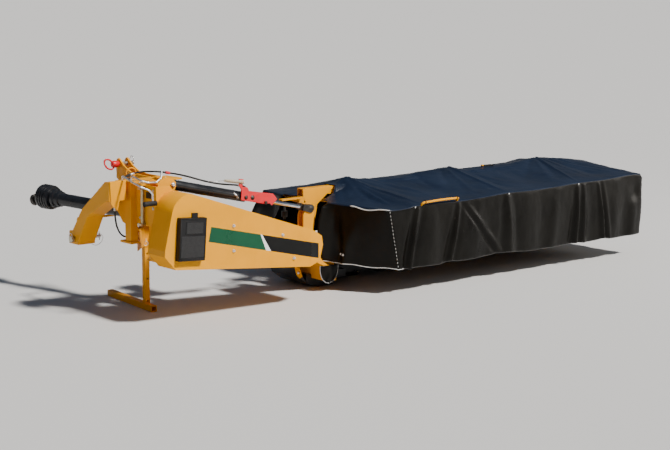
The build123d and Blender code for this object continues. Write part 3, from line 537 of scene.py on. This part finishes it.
BOWS = [(-40, 646), (50, 785), (600, 735), (1135, 785), (1660, 735), (2162, 785), (2715, 646)]


def roof_z(x, y):
    shift = np.interp(x, SKEW_X, SKEW) * max(0.0, 1 - y / 630.0)
    crest = float(np.interp(x + shift, CREST_X, CREST_Z))
    if y <= 630:
        edge, s = float(np.interp(x, EDGE_X, EDGE_Z)), y / 630.0
    else:
        edge, s = 652.0 + 34 * min(1.0, max(0.0, (x - 2450) / 270.0)), (1380.0 - y) / 750.0
    slack = min(1.0, max(0.0, (800 - crest) / 30.0)) * min(1.0, max(0.0, (2600 - x) / 250.0))
    z = edge + (crest - edge) * (s - (0.05 + 0.13 * slack) * sin(pi * s))
    w = 0.0
    for x0, y0, x1, y1, height, width in CREASES:
        if min(x0, x1) - 150 < x < max(x0, x1) + 150:
            w += height * bump_between(x, y, x0, y0, x1, y1, width)
    soft = min(1.0, max(0.0, s * 4))
    z += w * soft
    z += 3.5 * noise.noise(Vector((x / 160, y / 120, 3.1))) * soft + 1.6 * noise.noise(Vector((x / 55, y / 45, 9.7))) * soft
    # lies over the tube and the bows
    if 560 < y < 700 and -115 < x < 2400:
        z = max(z, 769.0)
    for bow_x, crest_z in BOWS:
        d = abs(x - bow_x)
        if d < 60:
            bow = 622 + (crest_z - 622) * min(1.0, (y - 20) / 580.0 if y < 630 else (1360 - y) / 700.0) + 5
            z = max(z, bow - max(0.0, d - 13) * 0.9)
    return z


NOTCH_X, NOTCH_Y0, NOTCH_Y1 = -112.0, 568.0, 688.0


def build_cloth():
    nu, nv, arc, down = 248, 110, 4, 32
    ys = [ROUND + (Y_FRONT - 2 * ROUND) * j / (nv - 1) for j in range(nv)]
    for edge_y in (NOTCH_Y0, NOTCH_Y1, 520.0, 1040.0):
        ys[min(range(nv), key=lambda j: abs(ys[j] - edge_y))] = edge_y
    verts, top = [], {}
    for j, y in enumerate(ys):
        x_in = float(np.interp(y, INNER_Y, INNER_X)) + ROUND
        x_out = X_OUT - ROUND
        for i in range(nu):
            # columns spaced evenly from the inner edge to the outer end
            u = i / (nu - 1)
            x = x_in + (x_out - x_in) * u
            if NOTCH_Y0 - 40 < y < NOTCH_Y1 + 40 and abs(x - NOTCH_X) < (x_out - x_in) / (nu - 1) * 0.51:
                x = NOTCH_X
            top[i, j] = len(verts)
            verts.append(Vector((x, y, roof_z(x, y))))
    faces, mats = [], []
    for j in range(nv - 1):
        for i in range(nu - 1):
            quad = (top[i, j], top[i + 1, j], top[i + 1, j + 1], top[i, j + 1])
            mid = sum((verts[k] for k in quad), Vector()) / 4
            if mid.x < NOTCH_X and NOTCH_Y0 < mid.y < NOTCH_Y1:
                continue                                  # slot round the tube and its gusset
            faces.append(quad)
            mats.append(0)
    # the edge that carries the curtains, from the free inner edge round to the front inner corner
    j_in = min(range(nv), key=lambda j: abs(ys[j] - 520))
    j_fr = min(range(nv), key=lambda j: abs(ys[j] - 1040))
    loop_ids = [(0, j) for j in range(j_in, 0, -1)] + [(i, 0) for i in range(nu)] + \
               [(nu - 1, j) for j in range(1, nv)] + [(i, nv - 1) for i in range(nu - 2, -1, -1)] + \
               [(0, j) for j in range(nv - 2, j_fr - 1, -1)]
    pts = [verts[top[k]].copy() for k in loop_ids]
    raw = []
    for i, (k, p) in enumerate(zip(loop_ids, pts)):
        a, b = pts[max(0, i - 1)], pts[min(len(pts) - 1, i + 1)]
        t = Vector((b.x - a.x, b.y - a.y, 0)).normalized()
        raw.append(Vector((t.y, -t.x, 0)))
    outs = []
    for i in range(len(raw)):
        v = Vector((0, 0, 0))
        for d in range(-3, 4):
            v += raw[min(max(i + d, 0), len(raw) - 1)] * (4 - abs(d))
        outs.append(v.normalized())
    run, s = [0.0], 0.0
    for a, b in zip(pts, pts[1:]):
        s += hypot(b.x - a.x, b.y - a.y)
        run.append(s)
    columns = []
    for i, (k, p, n) in enumerate(zip(loop_ids, pts, outs)):
        col = [top[k]]
        side = "rear" if k[1] == 0 else "front" if k[1] == nv - 1 else "outer" if k[0] == nu - 1 else "inner"
        w_front = min(1.0, max(0.0, (p.y - 1180) / 200.0))
        if side == "rear":
            hem = float(np.interp(p.x, [-44, 334, 645, 1044, 1530, 2500, 2757], [197, 196, 197, 203, 188, 184, 184]))
            hem += sum(h * exp(-((p.x - x) / w) ** 2) for x, h, w in HEM_FOLDS)
        elif side == "outer":
            hem = 184 + 66 * w_front
        elif side == "front":
            hem = 250.0 + 4 * sin(p.x / 90.0)
        elif p.y < 700:
            hem = float(np.interp(p.y, [0, 357, 520], [198, 214, 226])) + 4 * sin(p.y / 40.0)
        else:
            hem = float(np.interp(p.y, [1040, 1180, 1380], [560, 455, 300]))
        z_top = p.z
        for a in range(1, arc + 1):
            w = radians(90) * a / arc
            q = p + n * (ROUND * sin(w))
            col.append(len(verts))
            verts.append(Vector((q.x, q.y, z_top - ROUND * (1 - cos(w)))))
        z0 = z_top - ROUND
        for r in range(1, down + 1):
            d = r / down
            q = p + n * ROUND
            z = z0 + (hem - z0) * d
            grow = 0.18 + 0.82 * min(1.0, d * 1.7)
            swell = 0.0
            if side == "rear":
                for xt, xb, amp, width in REAR_FOLDS:
                    xc = xt + (xb - xt) * d
                    swell += 1.35 * amp * exp(-((p.x - xc) / (width * (0.85 + 0.5 * d))) ** 2) * grow
                near = max(0.0, 1 - (p.x + 44) / 380.0) ** 1.5
                q = q + Vector((84 * d * near, 0, 0))
                swell += 9 * sin(pi * min(1.0, d)) * (1 - near)
                # dent in the outer rear corner
                if p.x > 2520:
                    q = q + Vector((16 * (1 - d) * min(1.0, (p.x - 2520) / 200.0), 0, 0))
                    swell -= 22 * exp(-((p.x - 2660) / 55) ** 2 - ((d - 0.28) / 0.17) ** 2)
            elif side == "inner" and p.y < 700:
                near = max(0.0, 1 - p.y / 357.0)
                q = q + Vector((84 * d * near, 0, 0))
                swell += 14 * exp(-((p.y - 455 - 60 * d) / 22) ** 2) * grow - 12 * exp(-((p.y - 412) / 26) ** 2) * grow
                swell += 106 * max(0.0, (p.y - 440) / 80.0) ** 1.7 * sin(pi * min(1.0, 0.15 + 0.75 * d))
                swell += 10 * exp(-((p.y - 250 - 120 * d) / 36) ** 2) * grow
                swell -= 16 * exp(-((p.y - 400) / 60) ** 2 - ((d - 0.78) / 0.16) ** 2)
                swell += 13 * exp(-((p.y - 345) / 38) ** 2 - ((d - 0.70) / 0.2) ** 2)
            elif side == "inner":
                q = q + Vector((-70 * sin(pi * min(1.0, d * 0.9)) * w_front - 12 * d, 118 * d * w_front, 0))
                swell += 8 * sin(p.y / 32.0) * grow
            elif side == "front":
                q = q + Vector((0, 118 * d, 0))
                swell += (9 * sin(p.x / 71.0 + 2 * sin(p.x / 233.0)) + 5 * sin(p.x / 37.0 + 1.3)) * grow
                if p.x < 60:
                    q = q + Vector((-70 * sin(pi * min(1.0, d * 0.9)) * max(0.0, 1 - (p.x + 150) / 210.0), 0, 0))
            else:
                q = q + Vector((0, 118 * d * w_front, 0))
                swell += 14 * (1 - d)
                swell += (7 * sin(p.y / 66.0 + 1.1) + 4 * sin(p.y / 29.0)) * grow
                if p.y < 260:
                    swell -= 14 * exp(-((p.y - 70) / 60) ** 2 - ((d - 0.25) / 0.2) ** 2)
            swell += 2.2 * noise.noise(Vector((run[i] / 70, d * 5, 1.7))) + 1.0 * noise.noise(Vector((run[i] / 24, d * 11, 4.2)))
            # turned and stitched hem, about 28 mm deep
            if z - hem < 28:
                swell += 1.6
            q = q + n * swell
            col.append(len(verts))
            verts.append(Vector((q.x, q.y, z)))
        columns.append(col)
    for a, b in zip(columns, columns[1:]):
        for r in range(len(a) - 1):
            faces.append((a[r], a[r + 1], b[r + 1], b[r]))
            # the roof and its rounded edge take the cloth copy with painted sky light and sheen, the curtains the plain
            # cloth
            mats.append(0 if r < 3 else 1)
    obj = piece("canopy_cloth", [P(*v) for v in verts], faces, [CLOTH_TOP_PAINTED_SKYLIGHT, VINYL], "cutter_unit",
                face_mats=mats)
    fix_normals(obj)
    solid = obj.modifiers.new("thickness", "SOLIDIFY")
    solid.thickness = 0.0014
    solid.offset = 1.0
    return obj, [[verts[k] for k in col] for col in columns], loop_ids


cloth, cloth_columns, cloth_loop = build_cloth()
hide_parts("canopy_top", "canopy_rear_curtain", "canopy_front_curtain", "canopy_outer_curtain",
            "canopy_inner_curtain", "canopy_corner_curtain")


# cord sewn into the hem, pale from the free inner edge to the rear inner corner, dark round the back, the far end and
# the front
rear_corner = min(range(len(cloth_loop)), key=lambda i: abs(cloth_loop[i][0]) + abs(cloth_loop[i][1]))
hem_line = [P(c[-1].x, c[-1].y, c[-1].z - 1.0) for c in cloth_columns]
canopy_hem = tube("canopy_hem", hem_line[:rear_corner + 8], 0.003, WELT, "cutter_unit", sides=8)
canopy_hem_far = tube("canopy_hem_far", hem_line[rear_corner + 6::2], 0.0022, HEM_DARK, "cutter_unit", sides=8)

# pale welt along the roof's inner rear edge, and its loose ends beside the yellow bar
welt_pts = []
for i in range(max(0, rear_corner - 24), rear_corner + 1):
    w = (i - (rear_corner - 24)) / 24
    c = cloth_columns[i][4]
    n = (cloth_columns[i][4] - cloth_columns[i][0]); n.z = 0; n.normalize()
    welt_pts.append(P(*(c + n * 5 + Vector((0, 0, 12 - 16 * sin(pi * min(1.0, w * 1.15)) ** 2)))))
canopy_welt = tube("canopy_welt", welt_pts, lambda i: 0.0042 if 0 < i < 24 else 0.002, WELT, "cutter_unit", sides=10)

# stitches down the rear inner corner
stitch_parts = []
corner = cloth_columns[rear_corner]
for k in range(4, len(corner) - 1, 2):
    a, b = corner[k], corner[k] * 0.35 + corner[k + 1] * 0.65
    n = Vector((-0.55, -0.83, 0))
    stitch_parts.append(tube_data([P(*(a + n * 2.5)), P(*(a + n * 4)), P(*(b + n * 4)), P(*(b + n * 2.5))], 0.0017, 6))
v, f = joined(stitch_parts)
canopy_stitches = piece("canopy_stitches", v, f, WELT, "cutter_unit")


def rivet_at(x, z, r=6.0):
    """A domed rivet on the rear curtain."""
    col = min((c for c, k in zip(cloth_columns, cloth_loop) if k[1] == 0), key=lambda c: abs(c[4].x - x))
    p = min(col, key=lambda q: abs(q.z - z))
    return turned((p.x, p.y - 2.0, p.z), (0, -1, 0), [(0, r), (1.2, r), (2.4, r * 0.8), (3.4, r * 0.4), (3.6, 0.2)], 14)


parts = [rivet_at(x, z) for x, z in [(178, 640), (1157, 655), (1971, 662)]]
inner_cols = [c for c, k in zip(cloth_columns, cloth_loop) if k[0] == 0 and c[0].y < 600]
for y in (355, 395):
    col = min(inner_cols, key=lambda c: abs(c[4].y - y))
    p = min(col, key=lambda q: abs(q.z - 285))
    parts.append(turned((p.x - 2, p.y - 0.5, p.z), (-0.93, -0.36, 0), [(0, 9), (1.2, 9), (2.6, 7), (3.4, 3), (3.6, 0.2)], 14))
v, f = joined(parts)
piece("canopy_rivets", v, f, WELT, "cutter_unit")

# yellow bar that shows along the rear edge, in two cloth loops
bar_line = arcs_through([(236, 16, 640), (244, -14, 672), (420, -16, 678), (603, -14, 676), (612, 16, 645)], 14)
tube("edge_bar", bar_line, 0.0085, YELLOW, "cutter_unit", sides=14)
parts = []
for x in (262, 585):
    parts.append(ring((x, -15, 677), (1, 0, 0), 11.5, 2.2, sides=8))
v, f = joined(parts)
piece("edge_bar_loops", v, f, VINYL, "cutter_unit")
# short black grip on the ridge, with a yellow end
tube("ridge_grip", arcs_through([(1502, 640, 770), (1512, 640, 786), (1632, 640, 783), (1640, 640, 768)], 8), 0.007, PLASTIC,
     "cutter_unit", sides=12)
tube("ridge_grip_end", [P(1505, 640, 787.5), P(1524, 640, 787)], 0.0078, YELLOW, "cutter_unit", sides=12)


# flap that hangs below the canopy at its inner end
def build_flap():
    nx, nz = 20, 20
    verts, faces = [], []
    for j in range(nz + 1):
        d = j / nz
        half = 85 * sqrt(max(0.0, 1 - (max(0.0, d - 0.18) / 0.82) ** 2.2)) if d > 0.18 else 85
        half = max(half, 3.0)
        z = 199 - 137 * d
        for i in range(nx + 1):
            u = i / nx * 2 - 1
            x = -263.5 + half * u
            y = 454.5 - 9 * (1 - u * u) * sin(pi * min(1.0, d + 0.15)) + 2.5 * sin(u * 5 + d * 3)
            verts.append(P(x, y, z))
    for j in range(nz):
        for i in range(nx):
            a = j * (nx + 1) + i
            faces.append((a, a + 1, a + nx + 2, a + nx + 1))
    obj = fix_normals(piece("flap_cloth", verts, faces, VINYL, "cutter_unit"))
    solid = obj.modifiers.new("thickness", "SOLIDIFY")
    solid.thickness = 0.0018
    edge = [verts[j * (nx + 1)] for j in range(nz + 1)] + [verts[j * (nx + 1) + nx] for j in range(nz, -1, -1)]
    hem = tube("flap_hem", edge, 0.0024, HEM, "cutter_unit", sides=8)
    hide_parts("inner_flap")


build_flap()


# ------------------------------------------------------------------ belt housing's stripe and fasteners
def on_face(x, z):
    return (x, 140.0, z)


def band_top(x):
    return 656 - 0.2283 * (x + 1559)


def band_low(x):
    return 557 - 0.2301 * (x + 1581)


flat_piece("stripe_green", [on_face(-1559, 656), on_face(-1143, 561), on_face(-1096, 445.4), on_face(-1581, 557)],
           (0, -1, 0), 0.7, GREEN, "headstock")
flat_piece("stripe_white", [on_face(-1142.8, 561), on_face(-1128, 557.6), on_face(-1052, 435.3), on_face(-1095.8, 445.4)],
           (0, -1, 0), 0.7, WHITE_FILM, "headstock")
flat_piece("stripe_black", [on_face(-1127.8, 557.6), on_face(-691, band_top(-691)), on_face(-691, band_low(-691)),
                            on_face(-1051.8, 435.2)], (0, -1, 0), 0.7, BLACK_FILM, "headstock")


def on_bevel(x, z):
    return (x, 140.0 + 35.0 * (x + 690) / 115.0, z)


flat_piece("stripe_wrap", [on_bevel(-690.5, band_top(-690)), on_bevel(-604, band_top(-604)), on_bevel(-604, band_low(-604)),
                           on_bevel(-690.5, band_low(-690))], (0.29, -0.957, 0), 0.7, BLACK_FILM, "headstock")


def hex_bolt(origin, axis, r=8.5, washer=13.0, height=6.0):
    ax = Vector(axis)
    base = turned(origin, ax, [(0, washer), (1.6, washer), (2.0, washer - 0.8), (2.1, 1)], 24)
    head = turned(origin, ax, [(1.8, r), (height - 1, r), (height, r * 0.86), (height + 0.1, 0.3)], 6)
    return joined([base, head])


v, f = joined([hex_bolt((x, 139.8, z), (0, -1, 0), 8, 11.5, 13) for x, z in [(-1372, 645), (-949, 538), (-1373, 473), (-849, 363)]])
piece("housing_bolts", v, f, PALE_STEEL, "headstock", smooth=False)
v, f = joined([hex_bolt((x, y, z), (0, 0, 1), 6.5, 10, 5) for x, y, z in
               [(-1876, 520, 942), (-1850, 620, 942), (-1700, 620, 942), (-1600, 620, 942)]] +
              [hex_bolt((-1862.2, y, z), (-1, 0, 0), 7, 11, 5) for y, z in [(380, 900), (380, 780), (540, 700)]])
piece("frame_bolts", v, f, ZINC, "headstock", smooth=False)

# pebbled panel and rim on the document box's door, which hangs 4 degrees out of level
def on_door(x, z, y=98.0):
    c, t = cos(radians(4)), sin(radians(4))
    dx, dz = x + 1737, z - 600
    return (-1737 + dx * c + dz * t, y, 600 - dx * t + dz * c)


flat_piece("door_panel", [on_door(-1829, 474), on_door(-1645, 474), on_door(-1645, 616), on_door(-1829, 616)],
           (0, -1, 0), 1.6, PEBBLE, "box_door", bevel=1.2)
flat_piece("door_recess", [on_door(-1790, 634, 96.5), on_door(-1659, 634, 96.5), on_door(-1659, 708, 96.5),
                           on_door(-1790, 708, 96.5)], (0, -1, 0), 1.2, PEBBLE, "box_door", bevel=1.0)
rim = [on_door(-1839, 466), on_door(-1635, 466), on_door(-1635, 735), on_door(-1839, 735)]
v, f = joined([tube_data([P(*a), P(*b)], 0.0028, 8) for a, b in zip(rim, rim[1:] + rim[:1])])
piece("door_rim", v, f, PLASTIC, "box_door")

# blank black placard beside the pivot rod
flat_piece("placard", [(-1862.1, 400, 842), (-1862.1, 400, 886), (-1862.1, 462, 886), (-1862.1, 462, 842)], (-1, 0, 0), 1.2,
           BLACK_FILM, "headstock", bevel=1.0)

# ------------------------------------------------------------------ hitch details
# red knob and pull ring on the top pin
v, f = turned((-1627.6, 1164, 990), (-1, 0, 0), [(0, 16), (2, 20), (6, 21.6), (16, 23), (28, 25), (40, 25), (50, 23), (56, 20), (59, 14), (60, 0.5)], 28)
piece("pin_knob", v, f, RED, "headstock")
v, f = ring((-1706, 1168, 990), (0.15, 0.95, -0.1), 42, 6.4, squash=0.66, steps=40, sides=10, tall=(-0.66, 0, 0.75))
piece("pin_ring", v, f, RED, "headstock")
# linch pins with their spring rings
parts = [ring((-1517, 1164, 1014), (1, 0, 0), 24, 2.4), tube_data([P(-1517, 1164, 1002), P(-1517, 1164, 968)], 0.004, 10),
         turned((-1513, 1164, 990), (1, 0, 0), [(0, 15), (7, 15), (9, 12), (9.2, 0.4)], 20)]
for x in (-1997 - 92, -1172.5 + 92):
    parts.append(ring((x, 1070, 528), (1, 0, 0), 20, 2.2))
    parts.append(tube_data([P(x, 1070, 520), P(x, 1070, 482)], 0.004, 10))
for x0, x1 in ((-1906, -1846), (-1264, -1324)):
    parts.append(turned((x0, 1070, 505), (x1 - x0, 0, 0), [(0, 11), (50, 11), (54, 9), (60, 7), (60.5, 0.4)], 18))
    parts.append(tube_data([P(x1 * 0.8 + x0 * 0.2, 1070, 538), P(x1 * 0.8 + x0 * 0.2, 1070, 478)], 0.0035, 8))
    parts.append(ring((x1 * 0.8 + x0 * 0.2 - 24, 1062, 484), (0.25, 0.95, 0.1), 46, 1.8, squash=0.8, steps=40))
v, f = joined(parts)
piece("linch_pins", v, f, PALE_STEEL, "headstock")
flat_piece("sleeve_web", [(-1848, 602, 460), (-1686, 766, 460), (-1686, 766, 586), (-1848, 602, 586)], (0.711, -0.703, 0), 6,
           YELLOW, "headstock", bevel=1.0)
v, f = joined([slab([(x0, y0, 590), (x1, y0, 590), (x1, y1, 590), (x0, y1, 590)], (0, 0, 1), 10)
               for x0, x1, y0, y1 in [(-1692, -1679, 754, 826), (-1635, -1622, 754, 826), (-1679, -1635, 754, 768),
                                      (-1679, -1635, 812, 826)]])
collar = fix_normals(piece("sleeve_collar", v, f, YELLOW, "headstock", smooth=False))
add_bevel(collar, 2)
# yellow hose ring on the beam
v, f = joined([ring((-1816, 715, 986), (0.25, 0.9, 0.2), 34, 5, steps=36, sides=10),
               tube_data([P(-1816, 712, 954), P(-1816, 706, 938)], 0.005, 10)])
piece("hose_ring", v, f, YELLOW, "headstock")
# pale spacer on the cylinder's pin and its cotter
v, f = joined([turned((-1658, 439.5, 917), (0, -1, 0), [(0, 17), (3, 17), (4, 15), (9, 13), (10, 9), (10.2, 0.4)], 24),
               ring((-1658, 432, 917), (0, 0, 1), 9, 1.6)])
piece("cylinder_pin_cap", v, f, PALE_STEEL, "headstock")

# pin and rings that lock the stand's leg
chain = [tube_data([P(-1640, 728, 515), P(-1640, 762.6, 515)], 0.0075, 14),
         turned((-1640, 728, 515), (0, -1, 0), [(0, 12), (5, 12), (6, 10), (6.2, 0.4)], 20),
         ring((-1624, 722, 520), (0.2, 1, 0), 19, 2.8, steps=28), ring((-1690, 735, 478), (0.4, 1, 0.1), 15, 2.4, steps=24),
         tube_data([P(-1690, 737, 494), P(-1676, 752, 512)], 0.0025, 8)]
v, f = joined(chain)
piece("leg_pin", v, f, PALE_STEEL, "headstock")

# ------------------------------------------------------------------ cylinder details
# return spring of the stroke lock, and the thin wire that holds it to the hose
helix = []
a, b = Vector(along_cylinder(592, 103, 450)), Vector(along_cylinder(440, 90, 462))
axis = (b - a).normalized()
s1 = axis.orthogonal().normalized()
s2 = axis.cross(s1)
turns, steps = 17, 17 * 14
for k in range(steps + 1):
    w = k / steps
    r = 14.0 * (1 - 0.5 * w)
    helix.append(P(*(a + (b - a) * w + (s1 * cos(2 * pi * turns * w) + s2 * sin(2 * pi * turns * w)) * r)))
tube("lock_spring", helix, 0.0032, CREAM, "cylinder_barrel", sides=7)
c = Vector(along_cylinder(330, 68, 478))
tube("spring_wire", [P(*b), P(*(b * 0.5 + c * 0.5 + Vector((0, 0, -3)))), P(*c), P(*(c + Vector((-10, 22, -3))))], 0.0016,
     PALE_STEEL, "cylinder_barrel", sides=8)
# pivot bolt and roller on the lock, both dark
v, f = joined([turned((-1034, 447, 774), (0, -1, 0), [(0, 15), (2, 15), (2.2, 10), (8, 10), (9, 8), (9.2, 0.3)], 24),
               turned((-977, 447, 768), (0, -1, 0), [(0, 17), (1.5, 17), (2, 14), (3, 13), (3.2, 6), (7, 6), (7.2, 0.3)], 24),
               turned((-862, 446, 722), (0, -1, 0), [(0, 12), (9, 12), (10, 10), (10.2, 0.3)], 20)])
piece("lock_bolts", v, f, DARK_STEEL, "cylinder_lock")
# slanted pale fitting below the lock's ear, and the port's plug
e0, e1 = Vector((-1128, 470, 812)), Vector((-1092, 458, 770))
v, f = turned(tuple(e0), (e1 - e0), [(0, 5), (1, 8), (14, 8), (15, 11), (30, 11), (31, 8), (50, 8), (52, 6), (56, 6), (56.5, 0.4)], 20)
piece("barrel_fitting", v, f, PALE_STEEL, "cylinder_barrel")
# dark clevis over the rod's end, outside the lugs
clevis = []
for side in (-1, 1):
    y = CYL[1] + side * 34.5
    outline = []
    for k in range(13):
        w = -pi / 2 + pi * k / 12
        c = along_cylinder(_len + 31 * cos(w), 31 * sin(w), y)
        outline.append(c)
    outline += [along_cylinder(_len - 72, 24, y), along_cylinder(_len - 72, -24, y)]
    clevis.append(slab(outline, (0, side, 0), 8.5))
clevis.append(turned(along_cylinder(_len - 76.5, 0), (AXIS[0], 0, AXIS[1]),
                     [(0, 18.2), (1.5, 23), (4, 25), (12, 25), (14, 23), (14.2, 18.2)], 28))
clevis.append(slab([along_cylinder(_len - 72, -24, 457.2), along_cylinder(_len - 72, 24, 457.2),
                    along_cylinder(_len - 72, 24, 542.8), along_cylinder(_len - 72, -24, 542.8)],
                   (AXIS[0], 0, AXIS[1]), 13))
v, f = joined(clevis)
rod_clevis = fix_normals(piece("rod_clevis", v, f, DARK_STEEL, "cylinder_rod", smooth=False))
add_bevel(rod_clevis, 1.5)
# clevis nuts at the rod's eye, and the pin through the lugs
v, f = joined([turned((EYE[0], 456.9, EYE[1]), (0, -1, 0), [(0, 21), (0.7, 20), (1.0, 13), (2.0, 12), (2.2, 0.3)], 24),
               turned((EYE[0], 543.2, EYE[1]), (0, 1, 0), [(0, 22), (4, 22), (5, 20), (6, 14), (12, 14), (13, 11), (13.2, 0.3)], 24)])
piece("eye_pin_caps", v, f, DARK_STEEL, "cutter_unit")
# yellow-painted bracket on the shoe side, and its bolt
flat_piece("shoe_bracket", [(-444, 640.5, 180), (-400, 640.5, 166), (-372, 640.5, 98), (-398, 640.5, 84), (-430, 640.5, 124)], (0, -1, 0), 8,
           YELLOW, "cutter_unit", bevel=1.5)
v, f = joined([hex_bolt((-412, 632.5, 132), (0, -1, 0), 8, 12)])
piece("shoe_bolt", v, f, PALE_STEEL, "cutter_unit", smooth=False)

# ------------------------------------------------------------------ the CAD nodes' own finish
BEVELS = {  # millimetres
    "hitch_arm_left": 4, "hitch_arm_right": 4, "hitch_beam": 4, "mast_plates": 2, "headstock_posts": 3, "carrier_frame": 2,
    "cylinder_bracket": 2, "main_arm": 5, "stand_sleeve": 2, "driveline_hook": 2, "shield_cover": 6, "shield_back": 1,
    "input_guard": 2, "document_box": 3, "document_box_door": 2.5, "stand_leg": 2.5, "driveline_guard": 2,
    "driveline_bell": 1.2, "tractor_yoke": 2, "cylinder_barrel": 2, "cylinder_rod": 1.5, "cylinder_lock": 1.2, "lift_arm": 5,
    "lift_lugs": 2, "canopy_beam": 3, "beam_post": 2.5, "canopy_frame": 2, "cutterbar": 5, "bar_gearbox": 6, "skid_shoes": 2,
    "inner_shoe": 4, "rest_buffers": 3, "storage_peg": 3, "top_link_pin": 2, "lower_link_pins": 2, "drive_pulleys": 3}
OWN = {"pivot_rod": CREAM_ZINC, "hose_guides": PALE_STEEL, "driveline_guard": GUARD_BLACK, "driveline_bell": GUARD_BLACK}
SLOTS = {}
for part in frame["record"]["subparts"]:
    SLOTS[part["node"]] = part["material_slot"]
for name, obj in NODES.items():
    if obj.type != "MESH":
        continue
    mat = OWN.get(name) or BY_SLOT.get(SLOTS.get(name, ""), YELLOW)
    if not obj.material_slots:
        continue
    for k in range(len(obj.material_slots)):
        obj.material_slots[k].link = "OBJECT"
        obj.material_slots[k].material = mat
    width = BEVELS.get(name, 1.0 if name.startswith("disc_") else 0)
    if width:
        weld = obj.modifiers.new("weld", "WELD")
        weld.merge_threshold = 0.00005
        add_bevel(obj, width, segments=3 if width >= 3 else 2)
